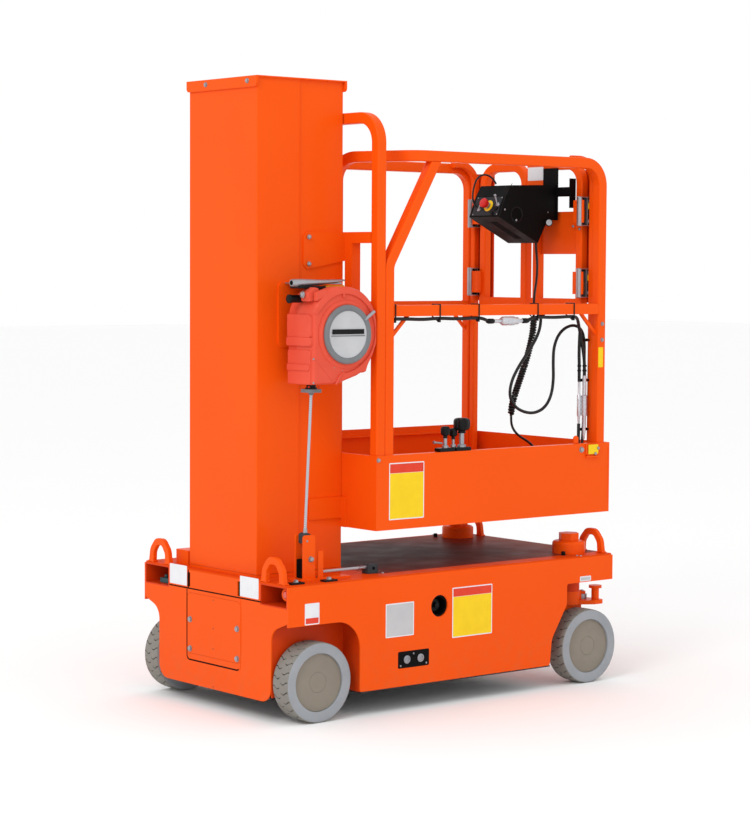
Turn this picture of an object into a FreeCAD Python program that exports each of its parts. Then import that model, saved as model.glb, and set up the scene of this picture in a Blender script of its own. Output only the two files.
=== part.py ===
import FreeCAD, Part
import math
import os
import re
import Sketcher
from FreeCAD import Placement, Rotation, Vector

# Vertical mast lift: a small driven chassis on four solid tyres carries a telescoping mast.
# The outer mast case, the reel and the railed platform rise together on three inner stages.
# Millimetres. The origin is on the floor, midway between the axles. +Z is up.
# -X is the mast end, +X is the gate and steering end, -Y is the side with the reel.

doc = FreeCAD.newDocument("mast_lift")
sheet = doc.addObject("Spreadsheet::Sheet", "Sizes")

# Driving sizes: alias, value in millimetres
SIZES = dict(
    # chassis
    axle_x=575, front_overhang=122, rear_overhang=107, half_width=390, deck_top=432,
    deck_gauge=5, deck_corner=12, panel_gauge=5, skirt_low=78, skirt_corner=12, edge_corner=8,
    arch_low=305, arch_reach=159, arch_radius=90,
    tail_low=344, tail_reach=181, heel_run=8, heel_z=165, heel_radius=60,
    tail_run=76, knee_z=275, knee_radius=26,
    bay_gap=10, front_low=62, foot_radius=48, nose_inset=142, pocket_low=360,
    slit_from=129, slit_width=17, slit_low=374, slit_drop=12,
    ear_low=315, ear_drop=30, ear_radius=50,
    access_half=149, access_low=162, access_high=356, access_radius=26, access_play=0.8,
    pocket_width=138, pocket_wall=4, pocket_depth=560, floor_gauge=4,
    port_x=-92, port_z=320, port_radius=35, port_depth=40, port_wall=6,
    plate_left=-263, plate_right=-135, plate_low=135, plate_high=188, plate_gauge=5, plate_play=0.3,
    plate_corner=5, socket_radius=11, socket_pitch=56,
    pack_end_gap=36, pack_side_gap=50, pack_high=350,
    # wheels, axles and steering
    wheel_radius=124.5, hub_radius=91, tyre_width=76, shoulder=9, tyre_edge=4,
    hub_inset=8, hub_width=61, rim_width=5, hub_dish=2, hub_cap_play=1, stub_radius=20, stub_short=24, bore_play=0.05,
    collar_reach=22, stub_gap=4, beam_half_length=35, beam_low=350,
    kingpin_inset=18, kingpin_radius=17, kingpin_boss=38, boss_low=302,
    knuckle_low=257, knuckle_play=0.3, knuckle_gauge=14, knuckle_foot=84, knuckle_rear=45,
    knuckle_nose=72, nose_low=190, nose_high=214, nose_shoulder=262, knuckle_front=24,
    knuckle_toe=40, pin_seat=4, stub_bite=4,
    arm_low=256, arm_high=270, arm_reach=64, arm_half=24, spool_reach=87, spool_out=42,
    spool_radius=22, spool_neck=13, spool_top=318, spool_cap=9,
    tie_radius=7, tie_eye=18, tie_eye_height=16, tie_pin=6, tie_play=0.3, tie_bite=6,
    nut_radius=13, nut_height=9,
    cap_radius=56, cap_shoulder=42, cap_corner=10, hex_radius=35, cap_height=68,
    # lugs and small deck pieces
    lug_front_run=9, lug_rear_run=20, lug_inset=82, lug_half=60, lug_height=80, lug_gauge=16,
    lug_corner=54, lug_eye=27, lug_eye_rise=31,
    cord_radius=4.5, cord_y=-298, cord_top_x=-541, cord_foot_x=-563, cord_foot_z=575,
    anchor_left=-586, anchor_right=-540, anchor_top=572, anchor_half=22, anchor_gauge=5,
    anchor_corner=10, anchor_tab_left=-528, anchor_tab_right=-508, anchor_tab_top=520,
    anchor_base_left=-600, anchor_base_right=-410, anchor_base_reach=14,
    grip_half=13, grip_low=545,
    deck_cord_rise=20, deck_cord_end=-322, block_length=38, block_half=15, block_height=30,
    box_left=-655, box_right=-565, box_from=200, box_to=268, box_height=48,
    # mast
    mast_setback=34, mast_depth=338, mast_half=182, seam_run=163, mast_foot=9, mast_top=1976,
    case_gauge=4, case_corner=3, lap=14,
    cap_over=7, cap_gauge=4, cap_drop=30, cap_end_radius=12,
    stage_gap=6, stage_wall=6, stage_foot=14, stage_short=46, stage_step=12, pad_play=0.3,
    wear_pad=60, pad_rise=250, foot_inset=24, foot_gauge=8,
    # plates that tie the case to the cage
    tie_upper_run=159, tie_upper_low=1389, tie_upper_high=1505, tie_gauge=6, tie_chamfer=14,
    tie_slope=26, tie_lower_run=134, tie_lower_low=600, tie_lower_high=667, tie_tab_low=566,
    tie_tab_reach=26,
    # cord reel
    reel_run=213, reel_z=1189, reel_near=-352, reel_far=-222, reel_half=125, reel_rise=147,
    reel_drop=154, reel_hub=62, reel_round=128, reel_round_front=104, reel_corner=8,
    reel_heel_x=10, reel_heel_radius=25, reel_hip_x=95, reel_hip_drop=92, reel_hip_radius=40,
    reel_side_drop=25, reel_side_radius=50,
    band_high=30, band_low=92, band_height=13, band_proud=4, band_depth=22,
    dome_radius=108, dome_proud=7, disc_radius=90, disc_proud=16, disc_face=71, disc_recess=4,
    disc_corner=5,
    reel_plate_front_run=79, reel_plate_rear_run=5, reel_plate_low=1147, reel_plate_high=1349,
    reel_plate_gauge=6, reel_plate_corner=20,
    collar_radius=17, collar_height=14, outlet_half=24, outlet_height=11,
    hanger_front_run=58, hanger_rear_run=92, hanger_rise=1, hanger_gauge=5, hanger_tube=11,
    hanger_over=20,
    # platform
    tub_end_run=15, tub_half=353, tub_low=571, tub_top=807, tub_wall=4, lip_width=18, far_rise=24,
    tube=35, tube_corner=5, hoop_top=1880, hoop_radius=80, brace_knee_z=1403, brace_top_x=-70,
    brace_radius=60, cross_z=1488.5, upright_y=201.5,
    rail_top=1765, rail_radius=75, kink_run=174, kink_radius=60, rail_leg_y=58,
    rail_leg_run=64.2, post_inset=37.5, mid_top=1277,
    inner_post=24, inner_rise=8, inner_reach=105, gusset_reach=72, gusset_width=15, gusset_gauge=8,
    knob_base_x=-62, knob_base_gap=6, knob_base_length=64, knob_base_reach=8, knob_base_height=12,
    small_shaft=6, small_knob=15, small_knob_z=873, large_shaft=8, large_knob=27,
    large_knob_low=872, large_knob_high=913, knob_corner=8,
    # gate leaves
    gate_tube=30, hinge_run=36.5, hinge_inset=75, leaf_margin=18, leaf_inner=16,
    leaf_low=1262, leaf_height=500, leaf_radius=62, hinge_radius=11, hinge_pin=5, hinge_half=50,
    hinge_barrel_half=38, hinge_low_z=1346, hinge_high_z=1588, hinge_plate=4, ear_gauge=9,
    ear_play=0.3, ear_reach=24, strap_gauge=6, strap_inner=34, strap_outer=26,
    infill_low=1444, infill_high=1589, infill_gauge=4,
    sign_from=-9, sign_to=75, sign_low=1670, sign_high=1764, sign_gauge=3,
    # control box, carried by the near leaf
    box_near=-142, box_far=8, box_back=636, box_length=264, box_top=1680, box_drop=112,
    box_step_x=47, box_step_drop=133, box_keel_x=83, box_keel_drop=199, box_chin_drop=113,
    box_brow_x=31, box_brow_drop=41, box_lid_x=53, box_lid_drop=6, box_corner=4,
    bracket_from=-147, bracket_to=-77, bracket_low=1560, bracket_high=1738,
    bracket_bar_low=1640, bracket_bar_high=1672, bracket_flange=5, bracket_flange_depth=26,
    bracket_flange_low=1600, bracket_flange_high=1700,
    # cords in the platform and what they end in
    cable_radius=4.2, curl_radius=12.5, loop_radius=5.2, lead_radius=5.5,
    gland_radius=9, floor_gland=21, box_gland_x=53, box_gland_y=42, box_gland_drop=180,
    clip_half=10, clip_height=11,
    front_joint_x=-487.5, joint_y=-11.5, joint_drop=19, joint_length=124, joint_end=6,
    joint_neck=12, joint_body=15, joint_step=30,
    rear_joint_x=-62.5, rear_joint_y=35.5, rear_joint_drop=420, rear_joint_length=214,
    rear_joint_step=48, rear_joint_body=17,
)
# Routes of the platform's cords, as offsets from an anchor point
BOX_CABLE = (
    (-53, 42, -180), (-53, 42, -214), (-44, 43, -262), (-45, 44, -322), (-57, 43, -373),
    (-60, 42, -412), (-60, 42, -449),
)
CURLY_CORD = (
    (-60, 42, -449), (-60, 42, -490), (-74, 40, -542), (-95, 37, -594), (-120, 34, -646),
    (-146, 30, -694), (-164, 27, -730), (-173, 25, -754), (-177, 24, -774), (-177, 24, -794),
)
CORD_TAIL = (
    (-177, 24, -794), (-177, 24, -809), (-171, 23, -829), (-156, 21, -848), (-133, 18, -864),
    (-104, 14, -879), (-76, 10, -904), (-53, 6, -942), (-39, 3, -990), (-34, 2, -1035),
    (-34, 2, -1084),
)
LOOP_CABLE = (
    (-258.5, 9.5, -11), (-258.5, 9.5, -34), (-270.5, 11.5, -70), (-295.5, 14.5, -108),
    (-323.5, 17.5, -142), (-351.5, 20.5, -178), (-375.5, 23.5, -220), (-382.5, 25.5, -267),
    (-356.5, 27.5, -304), (-311.5, 29.5, -324), (-261.5, 30.5, -329), (-214.5, 31.5, -312),
    (-184.5, 33.5, -274), (-173.5, 34.5, -220), (-175.5, 35.5, -162), (-171.5, 37.5, -110),
    (-149.5, 38.5, -68), (-111.5, 40.5, -43), (-67.5, 41.5, -37), (-34.5, 42.5, -56),
    (-22.5, 43.5, -94), (-21.5, 44.5, -152), (-22.5, 43, -227), (-22, 44.5, -302),
    (-24.5, 42.5, -372), (-32.5, 38.5, -427), (-43.5, 32.5, -477), (-50.5, 27.5, -530),
    (-51.5, 26.5, -587), (-51.5, 26.5, -646),
)
LEAD_FRONT = (
    (-910.5, -11.5, -8), (-859.5, -11.5, -8), (-789.5, -11.5, -11), (-723.5, -11.5, -7),
    (-639.5, -11.5, -10.5), (-557.5, -11.5, -7), (-531.5, -11.5, -11), (-509.5, -11.5, -19),
    (-487.5, -11.5, -19),
)
LEAD_REAR = (
    (-363.5, -11.5, -19), (-341.5, -11.5, -19), (-317.5, -11.5, -11), (-297.5, -11.5, -7),
    (-219.5, -11.5, -10), (-144.5, -11.5, -7), (-114.5, -8.5, -8), (-93.5, 7.5, -20),
    (-76.5, 25.5, -48), (-66.5, 33.5, -86), (-63, 35, -132), (-62.5, 35.5, -168),
    (-62.5, 35.5, -206),
)
LEAD_FOOT = (
    (-62.5, 35.5, -420), (-62.5, 35.5, -442), (-66.5, 31.5, -474), (-77.5, 25.5, -512),
    (-83.5, 22.5, -552), (-85.5, 22.5, -597), (-85.5, 22.5, -646),
)
# Sizes that follow from the ones above
FOLLOWING = dict(
    base_front="-axle_x - front_overhang",
    base_rear="axle_x + rear_overhang",
    deck_under="deck_top - deck_gauge",
    arch_left="-axle_x + arch_reach",
    tail_foot="axle_x - tail_reach",
    tail_edge="tail_foot + tail_run",
    inner_half="half_width - tyre_width - bay_gap",
    nose_half="half_width - nose_inset",
    kingpin_y="inner_half - kingpin_inset",
    knuckle_top="boss_low - knuckle_play",
    lug_y="half_width - lug_inset",
    mast_front="base_front + mast_setback",
    mast_rear="mast_front + mast_depth",
    mast_seam="mast_front + seam_run",
    mast_low="deck_top + mast_foot",
    stage_low="deck_top + stage_foot",
    stage_top="mast_top - stage_short",
    reel_x="mast_front + reel_run",
    tub_front="mast_rear",
    tub_rear="base_rear + tub_end_run",
    tub_inside="tub_half - tub_wall",
    frame_front="tub_front + tub_wall",
    frame_foot="tub_low + tub_wall",
    rail_y="tub_inside - tube / 2",
    post_x="tub_rear - post_inset",
    mid_low="mid_top - tube",
    gate_front="post_x - gate_tube / 2",
    hinge_x="post_x - hinge_run",
    hinge_y="tub_half - hinge_inset",
    leaf_outer="hinge_y - leaf_margin",
    leaf_high="leaf_low + leaf_height",
    box_front="box_back - box_length",
)
for row, (alias, entry) in enumerate({**SIZES, **FOLLOWING}.items(), start=1):
    sheet.set("A%d" % row, alias)
    sheet.set("B%d" % row, "=" + entry if alias in FOLLOWING else str(entry))
    sheet.setAlias("B%d" % row, alias)
doc.recompute()

WORDS = re.compile(r"\b(" + "|".join(sorted({**SIZES, **FOLLOWING}, key=len, reverse=True)) + r")\b")
PLANES = {"XY": "XY_Plane", "XZ": "XZ_Plane", "YZ": "YZ_Plane"}
SIDES = (("near", -1, "-"), ("far", 1, ""))
NODES = []
# An arc of a cord takes this share of the shorter run beside it
ARC_SHARE = 0.45
# How far a cord's volume may differ from its section times its length
VOLUME_DRIFT = 0.005


def linked(text):
    """The expression with each size name pointing into the sheet."""
    return WORDS.sub(r"Sizes.\1", text)


def value(text):
    """The number that a size expression gives."""
    if isinstance(text, (int, float)):
        return float(text)
    return float(sheet.evalExpression(text))


def tie(obj, prop, text):
    """Bind one property of an object to a size expression."""
    if isinstance(text, str):
        obj.setExpression(prop, linked(text))


def node(obj, name):
    """Name a finished sub-part."""
    obj.Label = name
    NODES.append(obj)
    return obj


def box(x, y, z):
    """A block between two corners; each of x, y, z is (low, high)."""
    block = doc.addObject("Part::Box", "block")
    for prop, axis, (low, high) in (("Length", "x", x), ("Width", "y", y), ("Height", "z", z)):
        tie(block, prop, "(%s) - (%s)" % (high, low))
        tie(block, "Placement.Base." + axis, "1 * (%s)" % low)
    return block


TURNS = {"X": Rotation(Vector(0, 1, 0), 90), "Y": Rotation(Vector(1, 0, 0), -90), "Z": Rotation()}


def rod(axis, radius, x, y, z, length):
    """A round bar that starts at x, y, z and runs along +axis."""
    bar = doc.addObject("Part::Cylinder", "rod")
    bar.Placement = Placement(Vector(), TURNS[axis])
    for prop, text in (("Radius", radius), ("Height", length)):
        tie(bar, prop, "1 * (%s)" % text)
    for letter, text in zip("xyz", (x, y, z)):
        tie(bar, "Placement.Base." + letter, "1 * (%s)" % text)
    return bar


def fuse(*parts):
    """One solid made of several that join."""
    union = doc.addObject("Part::MultiFuse", "union")
    union.Shapes = list(parts)
    union.Refine = True
    return union


def cut(base, *tools):
    """A solid with others taken out of it."""
    result = doc.addObject("Part::Cut", "cut")
    result.Base = base
    result.Tool = tools[0] if len(tools) == 1 else fuse(*tools)
    return result


def group(*parts):
    """Like pieces that don't touch, kept together."""
    several = doc.addObject("Part::Compound", "group")
    several.Links = list(parts)
    return several


def mirrored(part, normal=(0, 1, 0)):
    """The same piece on the other side of a plane through the origin."""
    twin = doc.addObject("Part::Mirroring", "twin")
    twin.Source = part
    twin.Base = Vector(0, 0, 0)
    twin.Normal = Vector(*normal)
    return twin


def pair(part):
    """A piece and its mirror image across the centre plane."""
    return group(part, mirrored(part))


def sketch_on(body, plane, name):
    """An empty sketch on one of a body's own origin planes."""
    sketch = body.newObject("Sketcher::SketchObject", name)
    origin = [f for f in body.Origin.OriginFeatures if f.Role == PLANES[plane]][0]
    sketch.AttachmentSupport = [(origin, "")]
    sketch.MapMode = "FlatFace"
    return sketch


def trace(sketch, points, closed=True):
    """Straight runs through points (u, v[, corner radius]), each bound to the sheet."""
    first = sketch.GeometryCount
    numbers = [(value(p[0]), value(p[1])) for p in points]
    count = len(points)
    runs = count if closed else count - 1
    for i in range(runs):
        (u0, v0), (u1, v1) = numbers[i], numbers[(i + 1) % count]
        sketch.addGeometry(Part.LineSegment(Vector(u0, v0, 0), Vector(u1, v1, 0)), False)
    for i in range(runs if closed else runs - 1):
        sketch.addConstraint(Sketcher.Constraint("Coincident", first + i, 2,
                                                 first + (i + 1) % runs, 1))
    for i, point in enumerate(points):
        line, end = (first + i, 1) if i < runs else (first + i - 1, 2)
        for kind, text, number in (("DistanceX", point[0], numbers[i][0]),
                                   ("DistanceY", point[1], numbers[i][1])):
            index = sketch.addConstraint(Sketcher.Constraint(kind, -1, 1, line, end, number))
            tie(sketch, "Constraints[%d]" % index, text)
    for i, point in enumerate(points):
        if len(point) > 2:
            sketch.fillet(first + (i - 1) % runs, 2, value(point[2]), True, True)
            arc = max(k for k in range(sketch.GeometryCount)
                      if isinstance(sketch.Geometry[k], Part.ArcOfCircle))
            index = sketch.addConstraint(Sketcher.Constraint("Radius", arc, value(point[2])))
            tie(sketch, "Constraints[%d]" % index, point[2])


def circle(sketch, u, v, radius):
    """A circle bound to the sheet."""
    centre = Vector(value(u), value(v), 0)
    index = sketch.addGeometry(Part.Circle(centre, Vector(0, 0, 1), value(radius)), False)
    for kind, text in (("DistanceX", u), ("DistanceY", v)):
        bound = sketch.addConstraint(Sketcher.Constraint(kind, -1, 1, index, 3, value(text)))
        tie(sketch, "Constraints[%d]" % bound, text)
    bound = sketch.addConstraint(Sketcher.Constraint("Radius", index, value(radius)))
    tie(sketch, "Constraints[%d]" % bound, radius)


def plate(plane, start, end, outline, holes=()):
    """A flat outline given thickness between start and end along the plane's axis."""
    body = doc.addObject("PartDesign::Body", "plate")
    sketch = sketch_on(body, plane, "outline")
    trace(sketch, outline)
    for hole in holes:
        if len(hole) == 3 and not isinstance(hole[0], tuple):
            circle(sketch, *hole)
        else:
            trace(sketch, hole)
    pad = body.newObject("PartDesign::Pad", "thickness")
    pad.Profile = sketch
    tie(pad, "Length", "(%s) - (%s)" % (end, start))
    letter, base = {"XY": ("z", start), "XZ": ("y", end), "YZ": ("x", start)}[plane]
    tie(body, "Placement.Base." + letter, "1 * (%s)" % base)
    return body


def rectangle(u0, u1, v0, v1, radius=None):
    """The four corners of a rectangle, rounded if a radius is given."""
    corners = [(u0, v0), (u1, v0), (u1, v1), (u0, v1)]
    return [c + (radius,) for c in corners] if radius is not None else corners


def turned(axis, x, y, z, outline):
    """A ring or disc: an outline of (radius, height) turned about an axis through x, y, z."""
    body = doc.addObject("PartDesign::Body", "turned")
    sketch = sketch_on(body, "XZ", "profile")
    trace(sketch, outline)
    ring = body.newObject("PartDesign::Revolution", "revolve")
    ring.Profile = sketch
    ring.ReferenceAxis = (sketch, ["V_Axis"])
    ring.Angle = 360
    body.Placement = Placement(Vector(), TURNS[axis])
    for letter, text in zip("xyz", (x, y, z)):
        tie(body, "Placement.Base." + letter, "1 * (%s)" % text)
    return body


def bent_tube(plane, offset, points, side, section_at):
    """Square tube bent in one upright plane; section_at is the centre of its first end."""
    body = doc.addObject("PartDesign::Body", "bent_tube")
    path = sketch_on(body, plane, "path")
    trace(path, points, closed=False)
    section = sketch_on(body, "XY", "section")
    for letter, text in zip("xyz", section_at):
        tie(section, "AttachmentOffset.Base." + letter, "1 * (%s)" % text)
    half = "(%s) / 2" % side
    trace(section, rectangle("-" + half, half, "-" + half, half, "tube_corner"))
    pipe = body.newObject("PartDesign::AdditivePipe", "pipe")
    pipe.Profile = section
    pipe.Spine = (path, [])
    letter = {"XZ": "y", "YZ": "x"}[plane]
    tie(body, "Placement.Base." + letter, "1 * (%s)" % offset)
    return body


def straight_cord(y, start, end, radius):
    """A round cord between two (x, z) points in an upright plane at y."""
    body = doc.addObject("PartDesign::Body", "cord")
    path = sketch_on(body, "XZ", "path")
    trace(path, [start, end], closed=False)
    section = sketch_on(body, "XY", "section")
    tie(section, "AttachmentOffset.Base.z", "1 * (%s)" % start[1])
    circle(section, start[0], 0, radius)
    pipe = body.newObject("PartDesign::AdditivePipe", "pipe")
    pipe.Profile = section
    pipe.Spine = (path, [])
    tie(body, "Placement.Base.y", "1 * (%s)" % y)
    return body


def arc_path(points):
    """Edges of straight runs joined by tangent arcs; each point is (x, y, z, radius)."""
    spots = [Vector(*p[:3]) for p in points]
    edges, begin = [], spots[0]
    for before, here, after, point in zip(spots, spots[1:], spots[2:], points[1:]):
        back = (before - here).normalize()
        ahead = (after - here).normalize()
        radius = point[3]
        reach = radius / math.tan(back.getAngle(ahead) / 2)
        enter, leave = here + back * reach, here + ahead * reach
        middle_way = (back + ahead).normalize()
        centre = here + middle_way * (reach ** 2 + radius ** 2) ** 0.5
        edges.append(Part.LineSegment(begin, enter).toShape())
        edges.append(Part.Arc(enter, centre - middle_way * radius, leave).toShape())
        begin = leave
    edges.append(Part.LineSegment(begin, spots[-1]).toShape())
    return edges


def swept(name, points, profile):
    """A bar swept along a path that turns in two planes."""
    piece = doc.addObject("Part::Feature", name)
    spine = Part.Wire(arc_path(points))
    piece.Shape = spine.makePipeShell([profile], True, False)
    return piece


def square_wire(centre, side, corner):
    """A rounded square around a centre, in a level plane."""
    half = side / 2
    flat = half - corner
    bulge = half - corner * (1 - 0.5 ** 0.5)
    edges = []
    for turn in range(4):
        spin = Rotation(Vector(0, 0, 1), 90 * turn)
        a, b, c, d = (spin.multVec(Vector(u, v, 0)) + centre for u, v in
                      ((half, -flat), (half, flat), (bulge, bulge), (flat, half)))
        edges.append(Part.LineSegment(a, b).toShape())
        edges.append(Part.Arc(b, c, d).toShape())
    return Part.Wire(edges)


# Chassis
def skirt(low_y, high_y, holes=()):
    """One side panel of the chassis, with its wheel arch and its raised tail."""
    return plate("XZ", low_y, high_y, [
        ("base_front", "arch_low"), ("arch_left", "arch_low", "arch_radius"),
        ("arch_left", "skirt_low", "edge_corner"), ("tail_foot", "skirt_low", "skirt_corner"),
        ("tail_foot + heel_run", "heel_z", "heel_radius"), ("tail_edge", "knee_z", "knee_radius"),
        ("tail_edge", "tail_low", "edge_corner"), ("base_rear", "tail_low"),
        ("base_rear", "deck_under"), ("base_front", "deck_under")], holes)


def chassis_shell():
    """Deck, side skirts, front plate and the walls behind the wheels."""
    deck = plate("XY", "deck_under", "deck_top", rectangle(
        "base_front", "base_rear", "-half_width", "half_width", "deck_corner"))
    node(deck, "deck_plate")
    near = skirt("-half_width", "-half_width + panel_gauge", holes=[
        ("port_x", "port_z", "port_radius"),
        rectangle("plate_left - plate_play", "plate_right + plate_play",
                  "plate_low - plate_play", "plate_high + plate_play", "plate_corner")])
    far = skirt("half_width - panel_gauge", "half_width")
    node(group(near, far), "side_skirts")
    ear = "half_width - panel_gauge"
    front = plate("YZ", "base_front", "base_front + panel_gauge", [
        ("-inner_half", "front_low", "foot_radius"), ("inner_half", "front_low", "foot_radius"),
        ("inner_half", "ear_low - ear_drop", "ear_radius"), (ear, "ear_low", "edge_corner"),
        (ear, "pocket_low"), ("nose_half", "pocket_low"),
        ("nose_half", "deck_under"), ("-nose_half", "deck_under"),
        ("-nose_half", "pocket_low"), ("-half_width + panel_gauge", "pocket_low"),
        ("-half_width + panel_gauge", "ear_low", "edge_corner"),
        ("-inner_half", "ear_low - ear_drop", "ear_radius")],
        holes=[rectangle("-access_half - access_play", "access_half + access_play",
                         "access_low - access_play", "access_high", "access_radius"),
               rectangle("-slit_from - slit_width", "-slit_from", "slit_low",
                         "deck_top - slit_drop"),
               rectangle("slit_from", "slit_from + slit_width", "slit_low",
                         "deck_top - slit_drop")])
    node(front, "front_plate")
    access = plate("YZ", "base_front", "base_front + panel_gauge", rectangle(
        "-access_half", "access_half", "access_low", "access_high - access_play",
        "access_radius"))
    node(access, "access_panel")
    pocket_from = "half_width - pocket_width"
    pocket = cut(box(("base_front", "base_front + pocket_depth"),
                     (pocket_from + " - pocket_wall", "half_width - panel_gauge"),
                     ("pocket_low", "deck_under")),
                 box(("base_front - pocket_wall", "base_front + pocket_depth + pocket_wall"),
                     (pocket_from, "half_width - panel_gauge - pocket_wall"),
                     ("pocket_low + pocket_wall", "deck_under - pocket_wall")))
    node(pair(pocket), "fork_pockets")
    cheek = fuse(box(("base_front + panel_gauge", "arch_left + panel_gauge"),
                     ("inner_half - panel_gauge", "inner_half"), ("skirt_low", "pocket_low")),
                 box(("arch_left", "arch_left + panel_gauge"),
                     ("inner_half - panel_gauge", "half_width - panel_gauge"),
                     ("skirt_low", "pocket_low")))
    rear = box(("tail_foot - panel_gauge", "tail_foot"),
               ("-half_width + panel_gauge", "half_width - panel_gauge"),
               ("skirt_low", "deck_under"))
    node(group(cheek, mirrored(cheek), rear), "chassis_walls")
    floor = plate("XY", "skirt_low - floor_gauge", "skirt_low", [
        ("base_front + panel_gauge", "-inner_half"), ("arch_left", "-inner_half"),
        ("arch_left", "-half_width"), ("tail_foot", "-half_width"),
        ("tail_foot", "half_width"), ("arch_left", "half_width"),
        ("arch_left", "inner_half"), ("base_front + panel_gauge", "inner_half")])
    node(floor, "floor_pan")
    battery = box(("arch_left + pack_end_gap", "tail_foot - pack_end_gap"),
                  ("-half_width + pack_side_gap", "half_width - pack_side_gap"),
                  ("skirt_low", "pack_high"))
    node(battery, "battery_block")


def side_fittings():
    """What shows on the near skirt: the round port's cup and the socket plate."""
    cup = turned("Y", "port_x", "-half_width + panel_gauge", "port_z", [
        ("port_radius - port_wall", 0), ("port_radius + port_wall", 0),
        ("port_radius + port_wall", "port_depth"), (0, "port_depth"),
        (0, "port_depth - port_wall"), ("port_radius - port_wall", "port_depth - port_wall")])
    middle = "(plate_left + plate_right) / 2"
    sockets = [(middle + sign + "socket_pitch / 2", "(plate_low + plate_high) / 2",
                "socket_radius") for sign in (" - ", " + ")]
    control = plate("XZ", "-half_width", "-half_width + plate_gauge", rectangle(
        "plate_left", "plate_right", "plate_low", "plate_high", "plate_corner"), holes=sockets)
    node(group(cup, control), "side_fittings")


def axles():
    """Front stub axles, the rear beam with its kingpins, and the caps on the deck."""
    stub = fuse(rod("Y", "stub_radius", "-axle_x", "inner_half", "wheel_radius",
                    "half_width - stub_short - inner_half"),
                rod("Y", "stub_radius + collar_reach", "-axle_x", "inner_half",
                    "wheel_radius", "stub_gap"))
    node(pair(stub), "front_stubs")
    pieces = [box(("axle_x - beam_half_length", "axle_x + beam_half_length"),
                  ("-half_width + panel_gauge", "half_width - panel_gauge"),
                  ("beam_low", "deck_under"))]
    for name, side, sign in SIDES:
        y = sign + "kingpin_y"
        pieces.append(rod("Z", "kingpin_boss", "axle_x", y, "boss_low", "beam_low - boss_low"))
        pieces.append(rod("Z", "kingpin_radius", "axle_x", y, "knuckle_low + pin_seat",
                          "boss_low - knuckle_low - pin_seat"))
    node(fuse(*pieces), "rear_axle_beam")
    dome = turned("Z", "axle_x", "kingpin_y", "deck_top", [
        (0, 0), ("cap_radius", 0), ("cap_radius", "cap_shoulder", "cap_corner"),
        (0, "cap_shoulder")])
    corners = []
    for step in range(6):
        along = math.cos(math.radians(60 * step))
        across = math.sin(math.radians(60 * step))
        corners.append(("axle_x + hex_radius * %.6f" % along,
                        "kingpin_y + hex_radius * %.6f" % across))
    nut = plate("XY", "deck_top", "deck_top + cap_height", corners)
    node(pair(fuse(dome, nut)), "kingpin_caps")


def deck_fittings():
    """Lifting lugs, cord anchor, cord grips and the small box on the deck."""
    lugs = []
    for x in ("base_front + lug_front_run", "base_rear - lug_rear_run"):
        lug = plate("YZ", x + " - lug_gauge / 2", x + " + lug_gauge / 2", [
            ("lug_y - lug_half", "deck_top"), ("lug_y + lug_half", "deck_top"),
            ("lug_y + lug_half", "deck_top + lug_height", "lug_corner"),
            ("lug_y - lug_half", "deck_top + lug_height", "lug_corner")],
            holes=[("lug_y", "deck_top + lug_eye_rise", "lug_eye")])
        lugs += [lug, mirrored(lug)]
    node(group(*lugs), "lifting_lugs")
    seat = "deck_top + anchor_gauge"
    cheek = [("anchor_left", seat), ("anchor_right", seat),
             ("anchor_right", "anchor_top", "anchor_corner"),
             ("anchor_left", "anchor_top", "anchor_corner")]
    near_y = "cord_y - anchor_half"
    far_y = "cord_y + anchor_half"
    anchor = fuse(
        box(("anchor_base_left", "anchor_base_right"),
            (near_y + " - anchor_base_reach", far_y + " + anchor_base_reach"),
            ("deck_top", seat)),
        plate("XZ", near_y, near_y + " + anchor_gauge", cheek),
        plate("XZ", far_y + " - anchor_gauge", far_y, cheek),
        box(("anchor_tab_left", "anchor_tab_right"), (near_y, near_y + " + anchor_gauge"),
            (seat, "anchor_tab_top")))
    node(anchor, "cord_anchor")
    line = rod("X", "cord_radius", "anchor_tab_right", "cord_y", "deck_top + deck_cord_rise",
               "deck_cord_end - anchor_tab_right")
    node(line, "deck_cord")
    grip = box(("cord_foot_x - grip_half", "cord_foot_x + grip_half"),
               (near_y + " + anchor_gauge", far_y + " - anchor_gauge"),
               ("grip_low", "cord_foot_z"))
    block = box(("deck_cord_end", "deck_cord_end + block_length"),
                ("cord_y - block_half", "cord_y + block_half"),
                ("deck_top", "deck_top + block_height"))
    node(group(grip, block), "cord_blocks")
    side_box = box(("box_left", "box_right"), ("box_from", "box_to"),
                   ("deck_top", "deck_top + box_height"))
    node(side_box, "deck_box")


# Wheels and steering
def wheel(name, side, x):
    """A solid tyre and its hub, closed on the outside; side is -1 for the near wheels."""
    tyre = turned("Y", x, "half_width - tyre_width", "wheel_radius", [
        ("hub_radius", 0, "tyre_edge"), ("wheel_radius", 0, "shoulder"),
        ("wheel_radius", "tyre_width", "shoulder"), ("hub_radius", "tyre_width", "tyre_edge")])
    bore = "stub_radius + bore_play"
    bore_end = "tyre_width - hub_inset - stub_short + hub_cap_play"
    hub = turned("Y", x, "half_width - tyre_width + hub_inset", "wheel_radius", [
        (bore, 0), ("hub_radius", 0), ("hub_radius", "hub_width"),
        ("hub_radius - rim_width", "hub_width"),
        ("hub_radius - rim_width", "hub_width - hub_dish"), (0, "hub_width - hub_dish"),
        (0, bore_end), (bore, bore_end)])
    for part, word in ((tyre, "tyre"), (hub, "hub")):
        node(mirrored(part) if side < 0 else part, "%s_%s" % (word, name))


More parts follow.
